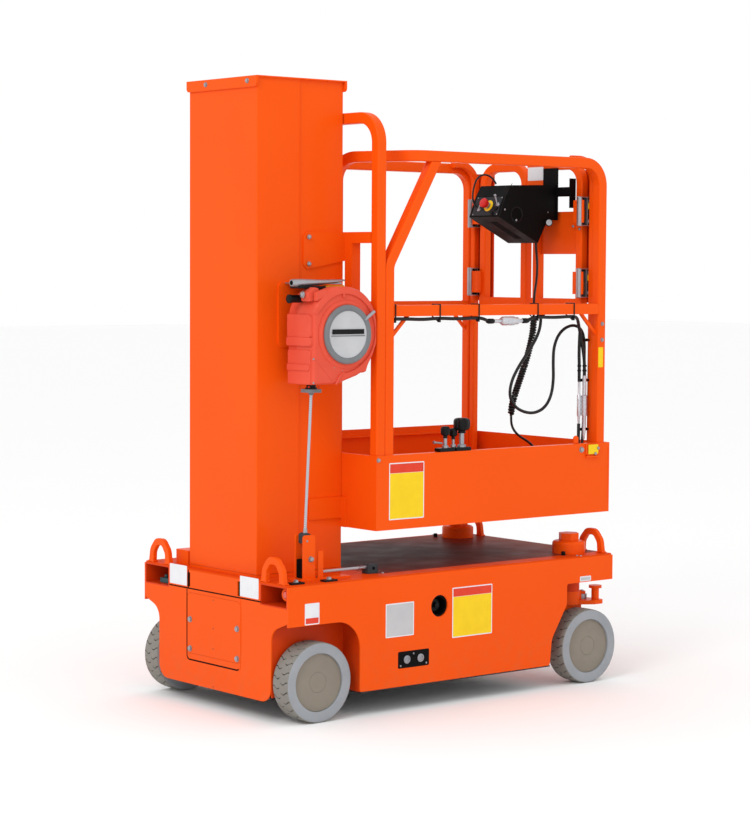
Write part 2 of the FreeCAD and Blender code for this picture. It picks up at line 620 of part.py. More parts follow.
def knuckle(name, side):
    """The part that turns on the kingpin: post, stub axle and steering arm."""
    post = plate("XZ", "inner_half - knuckle_gauge", "inner_half", [
        ("axle_x - knuckle_toe", "knuckle_foot"), ("axle_x + knuckle_rear", "knuckle_foot"),
        ("axle_x + knuckle_rear", "knuckle_top"), ("axle_x - knuckle_front", "knuckle_top"),
        ("axle_x - knuckle_front", "nose_shoulder"), ("axle_x - knuckle_nose", "nose_high"),
        ("axle_x - knuckle_nose", "nose_low")])
    head = rod("Z", "kingpin_boss", "axle_x", "kingpin_y", "knuckle_low",
               "knuckle_top - knuckle_low")
    stub = rod("Y", "stub_radius", "axle_x", "inner_half - stub_bite", "wheel_radius",
               "half_width - stub_short + stub_bite - inner_half")
    pin_x = "axle_x + arm_reach"
    spool_x = "axle_x + spool_reach"
    spool_y = "kingpin_y + spool_out"
    arm = plate("XY", "arm_low", "arm_high", [
        ("axle_x", "kingpin_y - arm_half"), (pin_x + " + arm_half", "kingpin_y - arm_half"),
        (spool_x + " + spool_radius", spool_y + " - spool_radius"),
        (spool_x + " + spool_radius", spool_y + " + spool_radius", "spool_neck"),
        (spool_x + " - spool_radius", spool_y + " + spool_radius"),
        ("axle_x", "kingpin_y + arm_half")])
    seat = "arm_high + tie_eye_height + 2 * tie_play"
    pin = rod("Z", "tie_pin", pin_x, "kingpin_y", "arm_low", seat + " - arm_low + nut_height")
    nut = rod("Z", "nut_radius", pin_x, "kingpin_y", seat, "nut_height")
    spool = fuse(rod("Z", "spool_neck", spool_x, spool_y, "arm_low", "spool_top - arm_low"),
                 rod("Z", "spool_radius", spool_x, spool_y, "spool_top - spool_cap", "spool_cap"))
    bore = rod("Z", "kingpin_radius + bore_play", "axle_x", "kingpin_y",
               "knuckle_low + pin_seat - knuckle_play", "knuckle_top - knuckle_low")
    solid = cut(fuse(post, head, stub, arm, pin, nut, spool), bore)
    node(mirrored(solid) if side < 0 else solid, "knuckle_%s" % name)


def tie_rod():
    """The rod that joins the two steering arms."""
    low = "arm_high + tie_play"
    pieces = []
    holes = []
    for name, side, sign in SIDES:
        y = sign + "kingpin_y"
        pieces.append(rod("Z", "tie_eye", "axle_x + arm_reach", y, low, "tie_eye_height"))
        holes.append(rod("Z", "tie_pin + bore_play", "axle_x + arm_reach", y,
                         "arm_high - tie_eye_height", "3 * tie_eye_height"))
    pieces.append(rod("Y", "tie_radius", "axle_x + arm_reach",
                      "-kingpin_y + tie_eye - tie_bite", low + " + tie_eye_height / 2",
                      "2 * (kingpin_y - tie_eye + tie_bite)"))
    node(cut(fuse(*pieces), *holes), "tie_rod")


# Mast
def nested_section(index, low_end, top):
    """One hollow section of the telescoping mast, with wear pads near its top."""
    grow = "(%d * (stage_wall + stage_gap) + stage_gap)" % index
    xs = ("mast_front + case_gauge + " + grow, "mast_rear - case_gauge - " + grow)
    ys = ("-mast_half + 2 * case_gauge + " + grow, "mast_half - 2 * case_gauge - " + grow)
    tube = cut(box(xs, ys, (low_end, top)),
               box((xs[0] + " + stage_wall", xs[1] + " - stage_wall"),
                   (ys[0] + " + stage_wall", ys[1] + " - stage_wall"),
                   (low_end + " - stage_wall", top + " + stage_wall")))
    middle = "(mast_front + mast_rear) / 2"
    pads = []
    for low in (top + " - 2 * wear_pad", "(stage_low + %s) / 2 + pad_rise" % top):
        height = (low, low + " + wear_pad")
        for x in ((xs[0] + " - stage_gap + pad_play", xs[0]),
                  (xs[1], xs[1] + " + stage_gap - pad_play")):
            pads.append(box(x, ("-wear_pad", "wear_pad"), height))
        for y in ((ys[0] + " - stage_gap + pad_play", ys[0]),
                  (ys[1], ys[1] + " + stage_gap - pad_play")):
            pads.append(box((middle + " - wear_pad", middle + " + wear_pad"), y, height))
    return fuse(tube, *pads)


def mast():
    """The fixed column, three stages, and the case that carries the platform."""
    column = nested_section(3, "deck_top", "stage_top - 3 * stage_step")
    foot = box(("mast_front + foot_inset", "mast_rear - foot_inset"),
               ("-mast_half + foot_inset", "mast_half - foot_inset"),
               ("deck_top", "deck_top + foot_gauge"))
    node(fuse(column, foot), "mast_column")
    for index, name in ((2, "stage_1"), (1, "stage_2"), (0, "stage_3")):
        node(nested_section(index, "stage_low", "stage_top - %d * stage_step" % index), name)
    inner = "mast_half - case_gauge"
    front = plate("XY", "mast_low", "mast_top", [
        ("mast_front", "-mast_half", "case_corner"), ("mast_seam", "-mast_half"),
        ("mast_seam", "-mast_half + case_gauge"),
        ("mast_front + case_gauge", "-mast_half + case_gauge"),
        ("mast_front + case_gauge", inner), ("mast_seam", inner),
        ("mast_seam", "mast_half"), ("mast_front", "mast_half", "case_corner")])
    node(front, "mast_case_front")
    rear = plate("XY", "mast_low", "mast_top", [
        ("mast_rear", "-mast_half + case_gauge", "case_corner"),
        ("mast_rear", inner, "case_corner"), ("mast_seam - lap", inner),
        ("mast_seam - lap", inner + " - case_gauge"),
        ("mast_rear - case_gauge", inner + " - case_gauge"),
        ("mast_rear - case_gauge", "-mast_half + 2 * case_gauge"),
        ("mast_seam - lap", "-mast_half + 2 * case_gauge"),
        ("mast_seam - lap", "-mast_half + case_gauge")])
    node(rear, "mast_case_rear")
    reach = "mast_half + cap_over"
    flange = [("-" + reach.replace(" + ", " - "), "mast_top - cap_drop", "cap_end_radius"),
              (reach, "mast_top - cap_drop", "cap_end_radius"),
              (reach, "mast_top"), ("-mast_half - cap_over", "mast_top")]
    cap = fuse(box(("mast_front - cap_over", "mast_rear + cap_over"),
                   ("-mast_half - cap_over", reach), ("mast_top", "mast_top + cap_gauge")),
               plate("YZ", "mast_front - cap_over", "mast_front", flange),
               plate("YZ", "mast_rear", "mast_rear + cap_over", flange))
    node(cap, "mast_cap")
    face = "mast_half - case_gauge"
    upper_left = "mast_rear - tie_upper_run"
    upper = plate("XZ", face, face + " + tie_gauge", [
        (upper_left + " + tie_chamfer", "tie_upper_low"),
        ("frame_front", "tie_upper_low + tie_slope"), ("frame_front", "tie_upper_high"),
        (upper_left + " + tie_chamfer", "tie_upper_high"),
        (upper_left, "tie_upper_high - tie_chamfer"),
        (upper_left, "tie_upper_low + tie_chamfer")])
    lower = fuse(box(("mast_rear - tie_lower_run", "tub_front"), (face, face + " + tie_gauge"),
                     ("tie_lower_low", "tie_lower_high")),
                 box(("tub_front - tie_gauge", "tub_front"),
                     (face, "mast_half + tie_tab_reach"), ("tub_low", "tie_lower_high")))
    backing = plate("XZ", "-mast_half - reel_plate_gauge", "-mast_half", rectangle(
        "mast_front + reel_plate_front_run", "mast_rear - reel_plate_rear_run",
        "reel_plate_low", "reel_plate_high", "reel_plate_corner"))
    node(group(upper, mirrored(upper), lower, mirrored(lower), backing), "case_plates")


def reel():
    """The cord reel that hangs on its plate at the near side of the mast."""
    back = "-mast_half - reel_plate_gauge"
    plate_left = "mast_front + reel_plate_front_run"
    left = "reel_x - reel_half"
    right = "reel_x + reel_half"
    top = "reel_z + reel_rise"
    shell = plate("XZ", "reel_near", "reel_far", [
        (left, "reel_z - reel_drop", "reel_corner"),
        ("reel_x - reel_heel_x", "reel_z - reel_drop", "reel_heel_radius"),
        ("reel_x + reel_hip_x", "reel_z - reel_hip_drop", "reel_hip_radius"),
        (right, "reel_z - reel_side_drop", "reel_side_radius"),
        (right, top, "reel_round"), (left, top, "reel_round_front")])
    bands = [box((left + " - band_proud", left + " + band_depth"), ("reel_near", "reel_far"),
                 ("reel_z - %s - band_height" % low, "reel_z - " + low))
             for low in ("band_high", "band_low")]
    dome = rod("Y", "dome_radius", "reel_x", "reel_near - dome_proud", "reel_z", "dome_proud")
    hub = rod("Y", "reel_hub", "reel_x", "reel_far", "reel_z", back + " - reel_far")
    node(fuse(shell, dome, hub, *bands), "reel_housing")
    face = "disc_proud - dome_proud"
    disc = turned("Y", "reel_x", "reel_near - disc_proud", "reel_z", [
        (0, "disc_recess"), ("disc_face", "disc_recess"), ("disc_face + disc_recess", 0),
        ("disc_radius", 0, "disc_corner"), ("disc_radius", face), (0, face)])
    node(disc, "reel_disc")
    drop = "reel_z - reel_drop - collar_height"
    outlet = fuse(rod("Z", "collar_radius", "cord_top_x", "cord_y", drop, "collar_height"),
                  box(("cord_top_x - outlet_half", "cord_top_x + outlet_half"),
                      ("cord_y - outlet_half", "cord_y + outlet_half"),
                      (drop + " - outlet_height", drop)))
    node(outlet, "reel_outlet")
    hanger_y = "(reel_near + reel_far) / 2"
    hanger_low = top + " + hanger_rise"
    hanger = fuse(box((plate_left + " + hanger_front_run", "mast_rear - hanger_rear_run"),
                      (hanger_y + " - hanger_over", back), (hanger_low, hanger_low + " + hanger_gauge")),
                  rod("X", "hanger_tube", plate_left + " - hanger_tube",
                      hanger_y + " - hanger_over", hanger_low + " + hanger_tube",
                      "mast_rear - hanger_rear_run - (%s) + hanger_tube" % plate_left))
    node(hanger, "reel_hanger")
    cord = straight_cord("cord_y", ("cord_foot_x", "cord_foot_z"),
                         ("cord_top_x", drop + " - outlet_height"), "cord_radius")
    node(cord, "reel_cord")


# Platform
def platform():
    """The tub and the cage of bent square tube above it."""
    lip_y = "tub_inside - lip_width"
    tub = cut(box(("tub_front", "tub_rear"), ("-tub_half", "tub_half"), ("tub_low", "tub_top")),
              box(("frame_front", "tub_rear - tub_wall"), ("-tub_inside", "tub_inside"),
                  ("frame_foot", "tub_top + tub_wall")))
    lip_run = ("frame_front + 2 * tube + bore_play", "post_x - tube / 2 - bore_play")
    lip_rise = ("tub_top - tub_wall", "tub_top")
    lips = [box(lip_run, ("-tub_inside", "-tub_inside + lip_width"), lip_rise),
            box(lip_run, (lip_y, "tub_inside"), lip_rise)]
    strip = box(("tub_front", "tub_rear"), ("tub_inside", "tub_half"),
                ("tub_top", "tub_top + far_rise"))
    node(fuse(tub, strip, *lips), "platform_tub")
    hoop = bent_tube("YZ", "frame_front + tube / 2", [
        ("-rail_y", "frame_foot"), ("-rail_y", "hoop_top - tube / 2", "hoop_radius"),
        ("rail_y", "hoop_top - tube / 2", "hoop_radius"), ("rail_y", "frame_foot")],
        "tube", (0, "-rail_y", "frame_foot"))
    node(hoop, "cage_hoop")
    pieces = []
    for bar_rise in (("cross_z - tube / 2", "cross_z + tube / 2"), ("mid_low", "mid_top")):
        pieces.append(box(("frame_front", "frame_front + tube"),
                          ("-rail_y + tube / 2", "rail_y - tube / 2"), bar_rise))
    for name, side, sign in SIDES:
        y = sign + "upright_y"
        pieces.append(box(("frame_front", "frame_front + tube"), (y + " - tube / 2", y + " + tube / 2"),
                          ("mid_top", "cross_z - tube / 2")))
    node(fuse(*pieces), "cage_uprights")
    leg_x = "frame_front + 3 * tube / 2"
    brace = bent_tube("XZ", "-rail_y", [
        (leg_x, "frame_foot"), (leg_x, "brace_knee_z", "brace_radius"),
        ("brace_top_x", "rail_top - tube / 2")], "tube", (leg_x, 0, "frame_foot"))
    above_rail = box(("brace_top_x - 3 * tube", "brace_top_x + 3 * tube"),
                     ("-rail_y - tube", "-rail_y + tube"),
                     ("rail_top - tube", "rail_top + tube"))
    node(pair(cut(brace, above_rail)), "cage_braces")
    rails = []
    for name, side, sign in SIDES:
        y = side * value("rail_y")
        inner_y = side * value("rail_leg_y")
        top = value("rail_top - tube / 2")
        post_x = value("post_x")
        leg = value("frame_front + rail_leg_run")
        base = value("frame_foot")
        bend = value("rail_radius")
        rails.append(swept("rail", [
            (post_x, y, base, 0), (post_x, y, top, bend),
            (value("frame_front + kink_run - tub_wall"), y, top, value("kink_radius")),
            (leg, inner_y, top, bend), (leg, inner_y, base, 0)],
            square_wire(Vector(post_x, y, base), value("tube"), value("tube_corner"))))
    node(group(*rails), "side_rails")
    mid = box(("frame_front + 2 * tube", "post_x - tube / 2"),
              ("rail_y - tube / 2", "rail_y + tube / 2"), ("mid_low", "mid_top"))
    post_y = "rail_y - tube / 2 - inner_post / 2"
    post = bent_tube("XZ", post_y, [
        ("post_x", "frame_foot"), ("post_x", "rail_top + inner_rise - inner_post / 2", "rail_radius"),
        ("post_x - inner_reach", "rail_top + inner_rise - inner_post / 2")],
        "inner_post", ("post_x", 0, "frame_foot"))
    node(pair(post), "gate_posts")
    gussets = []
    for corner, way in (("post_x - tube / 2", " - "), ("frame_front + 2 * tube", " + ")):
        gusset = plate("XZ", "rail_y - gusset_gauge / 2", "rail_y + gusset_gauge / 2", [
            (corner + way + "gusset_reach", "mid_low"),
            (corner + way + "(gusset_reach - gusset_width)", "mid_low"),
            (corner, "mid_low - gusset_reach + gusset_width"),
            (corner, "mid_low - gusset_reach")])
        gussets += [gusset, mirrored(gusset)]
    node(group(mid, mirrored(mid), *gussets), "mid_rails")


def tub_knobs():
    """Two hand knobs on short shafts, on the near edge of the tub."""
    base_low = "tub_top"
    pieces = []
    for index, (shaft, knob, low, high) in enumerate((
            ("small_shaft", "small_knob", "small_knob_z - small_knob",
             "small_knob_z + small_knob"),
            ("large_shaft", "large_knob", "large_knob_low", "large_knob_high"))):
        start = "knob_base_x + %d * (knob_base_length + knob_base_gap)" % index
        middle = start + " + knob_base_length / 2"
        y = "-tub_inside + lip_width / 2"
        pieces.append(fuse(
            box((start, start + " + knob_base_length"),
                ("-tub_half", "-tub_inside + lip_width + knob_base_reach"),
                (base_low, base_low + " + knob_base_height")),
            rod("Z", shaft, middle, y, base_low, low + " - tub_top"),
            turned("Z", middle, y, low, [
                (0, 0), (knob, 0, "knob_corner"), (knob, "(%s) - (%s)" % (high, low), "knob_corner"),
                (0, "(%s) - (%s)" % (high, low))])))
    node(group(*pieces), "tub_knobs")


def hinge_strap(z):
    """The barrel that turns on a hinge pin and the strap that joins it to the leaf."""
    rise = (z + " - hinge_barrel_half", z + " + hinge_barrel_half")
    return [
        rod("Z", "hinge_radius", "hinge_x", "hinge_y", rise[0], "2 * hinge_barrel_half"),
        box(("hinge_x - strap_gauge / 2", "hinge_x + strap_gauge / 2"),
            ("hinge_y - strap_inner", "hinge_y"), rise),
        box(("hinge_x - strap_gauge / 2", "gate_front"),
            ("hinge_y - strap_inner", "hinge_y - strap_outer"), rise)]


def gate():
    """Two sprung leaves between the rear posts, the near one with the control box."""
    inset = "gate_tube / 2"
    hinges = ("hinge_low_z", "hinge_high_z")
    for name, side, sign in SIDES:
        frame = bent_tube("YZ", "post_x", [
            ("leaf_inner + " + inset, "leaf_low + gate_tube"),
            ("leaf_inner + " + inset, "leaf_high - " + inset, "leaf_radius"),
            ("leaf_outer - " + inset, "leaf_high - " + inset, "leaf_radius"),
            ("leaf_outer - " + inset, "leaf_low + gate_tube")],
            "gate_tube", (0, "leaf_inner + " + inset, "leaf_low + gate_tube"))
        bar = box(("gate_front", "post_x + " + inset), ("leaf_inner", "leaf_outer"),
                  ("leaf_low", "leaf_low + gate_tube"))
        pieces = [frame, bar]
        for z in hinges:
            pieces += hinge_strap(z)
        if name == "near":
            pieces.append(box(
                ("post_x - infill_gauge / 2", "post_x + infill_gauge / 2"),
                ("leaf_inner + gate_tube", "leaf_outer - gate_tube"),
                ("infill_low", "infill_high")))
            pieces.append(box(("gate_front - sign_gauge", "gate_front"),
                              ("sign_from", "sign_to"), ("sign_low", "sign_high")))
        bores = [rod("Z", "hinge_pin + bore_play", "hinge_x", "hinge_y", z + " - hinge_half",
                     "2 * hinge_half") for z in hinges]
        leaf = cut(fuse(*pieces), *bores)
        node(mirrored(leaf) if side < 0 else leaf, "gate_leaf_" + name)
    brackets = []
    for z in hinges:
        post_front = "post_x - inner_post / 2"
        post_inner = "rail_y - tube / 2 - inner_post"
        pin = rod("Z", "hinge_pin", "hinge_x", "hinge_y", z + " - hinge_half", "2 * hinge_half")
        spine = box((post_front + " - hinge_plate", post_front),
                    (post_inner, post_inner + " + inner_post"),
                    (z + " - hinge_half", z + " + hinge_half"))
        ears = [box(("hinge_x - hinge_radius", post_front),
                    ("hinge_y - hinge_radius", "hinge_y + ear_reach"), (low, low + " + ear_gauge"))
                for low in (z + " - hinge_half", z + " + hinge_half - ear_gauge")]
        brackets.append(fuse(pin, spine, *ears))
    node(group(*brackets, *[mirrored(bracket) for bracket in brackets]), "gate_hinges")
    body = plate("XZ", "box_near", "box_far", [
        ("box_front", "box_top - box_chin_drop"),
        ("box_back - box_keel_x", "box_top - box_keel_drop"),
        ("box_back - box_step_x", "box_top - box_step_drop"),
        ("box_back", "box_top - box_drop"), ("box_back", "box_top", "box_corner"),
        ("box_front + box_lid_x", "box_top - box_lid_drop"),
        ("box_front + box_brow_x", "box_top - box_brow_drop")])
    gland = rod("Z", "gland_radius", "box_back - box_gland_x", "box_near + box_gland_y",
                "box_top - box_gland_drop", "box_gland_drop - box_step_drop")
    node(fuse(body, gland), "control_box")
    bracket = fuse(
        box(("box_back", "gate_front - sign_gauge"), ("bracket_from", "bracket_to"),
            ("bracket_low", "bracket_high")),
        box(("box_back", "gate_front"), ("-leaf_outer + gate_tube", "bracket_from"),
            ("bracket_bar_low", "bracket_bar_high")),
        box(("gate_front - bracket_flange_depth", "gate_front"),
            ("-leaf_outer + gate_tube", "-leaf_outer + gate_tube + bracket_flange"),
            ("bracket_flange_low", "bracket_flange_high")))
    node(bracket, "control_bracket")


def cord(name, route, anchor, radius):
    """A round cord along a route, its corners rounded as far as the runs beside them allow."""
    start = [value(part) for part in anchor]
    spots = [Vector(*(a + b for a, b in zip(start, point))) for point in route]
    bends = [0.0]
    for before, here, after in zip(spots, spots[1:], spots[2:]):
        back, ahead = here - before, after - here
        shorter = min(back.Length, ahead.Length)
        bends.append(ARC_SHARE * shorter / math.tan(back.getAngle(ahead) / 2))
    bends.append(0.0)
    spine = Part.Wire(arc_path([(*spot, bend) for spot, bend in zip(spots, bends)]))
    size = value(radius)
    rim = Part.Circle(spots[0], spots[1] - spots[0], size).toShape()
    piece = doc.addObject("Part::Feature", name)
    piece.Shape = spine.makePipeShell([Part.Wire(rim)], True, False)
    drift = piece.Shape.Volume / (math.pi * size ** 2 * spine.Length) - 1
    print("%s: %.0f mm long, arcs %s" % (name, spine.Length, [round(bend) for bend in bends[1:-1]]))
    if abs(drift) > VOLUME_DRIFT:
        raise RuntimeError("%s: its volume is off by %.3f" % (name, drift))
    return piece


def cords():
    """The control box's curly cord, the hanging loop and the lead under the near rail."""
    at_box = ("box_back", "box_near", "box_top")
    at_rail = ("post_x", "-rail_y", "mid_low")
    node(cord("box_cable", BOX_CABLE, at_box, "cable_radius"), "box_cable")
    node(cord("curly_cord", CURLY_CORD, at_box, "curl_radius"), "curly_cord")
    node(cord("cord_tail", CORD_TAIL, at_box, "cable_radius"), "cord_tail")
    node(cord("loop_cable", LOOP_CABLE, at_rail, "loop_radius"), "loop_cable")
    node(group(*[cord(name, route, at_rail, "lead_radius") for name, route in (
        ("lead_front", LEAD_FRONT), ("lead_rear", LEAD_REAR), ("lead_foot", LEAD_FOOT))]),
        "rail_lead")
    fittings = []
    for anchor, route in ((at_box, CORD_TAIL), (at_rail, LOOP_CABLE), (at_rail, LEAD_FOOT)):
        end = route[-1]
        fittings.append(rod("Z", "gland_radius", "%s + %s" % (anchor[0], end[0]),
                            "%s + %s" % (anchor[1], end[1]), "frame_foot", "floor_gland"))
    clip_x, clip_y = LOOP_CABLE[0][:2]
    fittings.append(box(
        ("post_x + %s - clip_half" % clip_x, "post_x + %s + clip_half" % clip_x),
        ("%s - rail_y - clip_half" % clip_y, "%s - rail_y + clip_half" % clip_y),
        ("mid_low - clip_height", "mid_low")))
    fittings.append(turned("X", "post_x + front_joint_x", "-rail_y + joint_y",
                           "mid_low - joint_drop", [
        (0, 0), ("joint_end", 0), ("joint_end", "joint_step"), ("joint_body", "joint_step"),
        ("joint_body", "joint_length - joint_step"), ("joint_neck", "joint_length - joint_step"),
        ("joint_end", "joint_length"), (0, "joint_length")]))
    fittings.append(turned("Z", "post_x + rear_joint_x", "-rail_y + rear_joint_y",
                           "mid_low - rear_joint_drop", [
        (0, 0), ("joint_end", 0), ("joint_neck", "rear_joint_step"),
        ("rear_joint_body", "rear_joint_step"),
        ("rear_joint_body", "rear_joint_length - 2 * rear_joint_step"),
        ("joint_neck", "rear_joint_length - 2 * rear_joint_step"),
        ("joint_neck", "rear_joint_length - joint_neck"),
        ("joint_end", "rear_joint_length - joint_neck"),
        ("joint_end", "rear_joint_length"), (0, "rear_joint_length")]))
    node(group(*fittings), "cord_fittings")


chassis_shell()
side_fittings()
axles()
deck_fittings()
for wheel_name, wheel_side, wheel_x in (
        ("front_near", -1, "-axle_x"), ("front_far", 1, "-axle_x"),
        ("rear_near", -1, "axle_x"), ("rear_far", 1, "axle_x")):
    wheel(wheel_name, wheel_side, wheel_x)
knuckle("near", -1)
knuckle("far", 1)
tie_rod()
mast()
reel()
platform()
tub_knobs()
gate()
cords()
doc.recompute()

for obj in doc.Objects:
    if "Invalid" in obj.State or "Error" in obj.State:
        raise RuntimeError("%s %s failed: %s" % (obj.Name, obj.Label, obj.State))
os.makedirs("parts", exist_ok=True)
for part in NODES:
    if part.Shape.isNull() or not part.Shape.isValid():
        raise RuntimeError("%s has no valid shape" % part.Label)
for part in NODES:
    part.Shape.exportStep("parts/%s.step" % part.Label)
print("%d nodes written" % len(NODES))
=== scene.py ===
import functools
import logging
import math
from dataclasses import dataclass
from enum import Enum

import bmesh
import bpy
from mathutils import Matrix, Vector


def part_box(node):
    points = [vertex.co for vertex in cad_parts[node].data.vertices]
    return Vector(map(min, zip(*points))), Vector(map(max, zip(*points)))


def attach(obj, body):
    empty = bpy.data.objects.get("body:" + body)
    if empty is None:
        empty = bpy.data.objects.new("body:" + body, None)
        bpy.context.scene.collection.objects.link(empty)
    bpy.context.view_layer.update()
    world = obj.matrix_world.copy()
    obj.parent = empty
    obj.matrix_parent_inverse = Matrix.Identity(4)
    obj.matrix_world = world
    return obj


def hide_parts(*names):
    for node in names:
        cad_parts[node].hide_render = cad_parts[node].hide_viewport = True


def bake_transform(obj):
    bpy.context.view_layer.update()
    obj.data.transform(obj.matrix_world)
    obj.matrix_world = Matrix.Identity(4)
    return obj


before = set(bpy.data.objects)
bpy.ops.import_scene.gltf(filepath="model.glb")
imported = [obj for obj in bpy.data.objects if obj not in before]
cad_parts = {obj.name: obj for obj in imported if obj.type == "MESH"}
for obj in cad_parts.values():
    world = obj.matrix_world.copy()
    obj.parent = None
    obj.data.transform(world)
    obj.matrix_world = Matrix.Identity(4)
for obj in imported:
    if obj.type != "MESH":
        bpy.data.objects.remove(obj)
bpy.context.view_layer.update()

# Vertical mast lift, dressed over its solids.
# All sizes are millimetres in the row frame: origin on the floor midway between the axles,
# +Z up, -X the mast end, +X the gate end, -Y the side with the cord reel.

MM = 0.001
LOG = logging.getLogger("mast_lift")

Point = tuple[float, float, float]
Flat = tuple[float, float]
Colour = tuple[float, float, float]


class Axis(Enum):
    """A direction of the row frame."""

    X = (1.0, 0.0, 0.0)
    Y = (0.0, 1.0, 0.0)
    Z = (0.0, 0.0, 1.0)
    FRONT = (-1.0, 0.0, 0.0)
    NEAR = (0.0, -1.0, 0.0)
    DOWN = (0.0, 0.0, -1.0)


def screen(red: float, green: float, blue: float) -> Colour:
    """Turns a colour as it looks on a screen into linear light.

    Args:
        red: Red, 0 to 255.
        green: Green, 0 to 255.
        blue: Blue, 0 to 255.

    Returns:
        The three linear parts.
    """
    parts = []
    for part in (red, green, blue):
        share = part / 255
        parts.append(share / 12.92 if share <= 0.04045 else ((share + 0.055) / 1.055) ** 2.4)
    return (parts[0], parts[1], parts[2])


# ---------------------------------------------------------------- finishes


class Graph:
    """The node tree of one material."""

    def __init__(self, name: str) -> None:
        """Starts a material with its shader.

        Args:
            name: The material's name.
        """
        self.material = bpy.data.materials.new(name)
        self.material.use_nodes = True
        self.tree = self.material.node_tree
        self.shader = self.tree.nodes["Principled BSDF"]
        self.place = self.add("ShaderNodeTexCoord").outputs["Object"]

    def add(self, kind: str, **settings: object) -> bpy.types.Node:
        """Adds a node.

        Args:
            kind: The node's type.
            **settings: Attributes to set on it.

        Returns:
            The new node.
        """
        node = self.tree.nodes.new(kind)
        for name, setting in settings.items():
            setattr(node, name, setting)
        return node

    def join(self, source: bpy.types.NodeSocket, target: bpy.types.NodeSocket) -> None:
        """Links two sockets."""
        self.tree.links.new(source, target)

    def noise(self, scale: float, detail: float = 3.0, stretch: Point = (1, 1, 1)
              ) -> bpy.types.NodeSocket:
        """A cloudy pattern.

        Args:
            scale: Features to the metre.
            detail: Octaves.
            stretch: Factors on the coordinates.

        Returns:
            The pattern's value, 0 to 1.
        """
        mapping = self.add("ShaderNodeMapping")
        mapping.inputs["Scale"].default_value = stretch
        self.join(self.place, mapping.inputs["Vector"])
        node = self.add("ShaderNodeTexNoise")
        node.inputs["Scale"].default_value = scale
        node.inputs["Detail"].default_value = detail
        self.join(mapping.outputs["Vector"], node.inputs["Vector"])
        return node.outputs["Fac"]

    def spread(self, source: bpy.types.NodeSocket, low: float, high: float,
               start: float = 0.0, end: float = 1.0) -> bpy.types.NodeSocket:
        """Maps a range of values onto another.

        Args:
            source: The value.
            low: Where the range starts.
            high: Where it ends.
            start: What the start becomes.
            end: What the end becomes.

        Returns:
            The mapped value.
        """
        node = self.add("ShaderNodeMapRange")
        for name, number in (("From Min", low), ("From Max", high),
                             ("To Min", start), ("To Max", end)):
            node.inputs[name].default_value = number
        self.join(source, node.inputs["Value"])
        return node.outputs["Result"]

    def mix(self, share: bpy.types.NodeSocket, first: Colour | bpy.types.NodeSocket,
            second: Colour | bpy.types.NodeSocket) -> bpy.types.NodeSocket:
        """Mixes two colours.

        Args:
            share: How much of the second.
            first: A colour or a socket.
            second: A colour or a socket.

        Returns:
            The mixed colour.
        """
        node = self.add("ShaderNodeMix", data_type="RGBA")
        self.join(share, node.inputs[0])
        for socket, colour in ((node.inputs[6], first), (node.inputs[7], second)):
            if isinstance(colour, tuple):
                socket.default_value = (*colour, 1.0)
            else:
                self.join(colour, socket)
        return node.outputs[2]

    def times(self, first: bpy.types.NodeSocket, second: bpy.types.NodeSocket
              ) -> bpy.types.NodeSocket:
        """Multiplies two values.

        Args:
            first: A value.
            second: Another.

        Returns:
            Their product.
        """
        node = self.add("ShaderNodeMath", operation="MULTIPLY")
        self.join(first, node.inputs[0])
        self.join(second, node.inputs[1])
        return node.outputs[0]

    def height(self) -> bpy.types.NodeSocket:
        """How high a point of the surface is.

        Returns:
            The height in metres.
        """
        node = self.add("ShaderNodeSeparateXYZ")
        self.join(self.place, node.inputs[0])
        return node.outputs["Z"]

    def relief(self, source: bpy.types.NodeSocket, strength: float, depth: float) -> None:
        """Raises the surface by a pattern.

        Args:
            source: The pattern.
            strength: How strongly, 0 to 1.
            depth: Its height in metres.
        """
        node = self.add("ShaderNodeBump")
        node.inputs["Strength"].default_value = strength
        node.inputs["Distance"].default_value = depth
        self.join(source, node.inputs["Height"])
        self.join(node.outputs["Normal"], self.shader.inputs["Normal"])


@dataclass(frozen=True)
class Finish:
    """A surface finish: two close colours that drift into each other, with fine relief."""

    name: str
    colour: Colour
    drift: Colour
    rough: float = 0.5
    rough_play: float = 0.08
    metal: float = 0.0
    coat: float = 0.0
    gloss: float = 0.22
    cloud: float = 6.0
    grain: float = 900.0
    grain_strength: float = 0.15
    grain_depth: float = 0.0004

    def pattern(self, graph: Graph) -> bpy.types.NodeSocket:
        """The finish's fine relief, as a value."""
        return graph.noise(self.grain, 2.0)

    def tint(self, graph: Graph) -> bpy.types.NodeSocket:
        """The finish's colour over the surface."""
        return graph.mix(graph.spread(graph.noise(self.cloud), 0.3, 0.7), self.colour, self.drift)

    def build(self) -> bpy.types.Material:
        """Makes the material.

        Returns:
            The finished material.
        """
        graph = Graph(self.name)
        shader = graph.shader
        graph.join(self.tint(graph), shader.inputs["Base Color"])
        graph.join(graph.spread(graph.noise(self.cloud * 4, 4.0), 0.3, 0.7,
                                self.rough - self.rough_play, self.rough + self.rough_play),
                   shader.inputs["Roughness"])
        shader.inputs["Metallic"].default_value = self.metal
        shader.inputs["Coat Weight"].default_value = self.coat
        shader.inputs["Coat Roughness"].default_value = 0.08
        shader.inputs["Specular IOR Level"].default_value = self.gloss
        graph.relief(self.pattern(graph), self.grain_strength, self.grain_depth)
        return graph.material


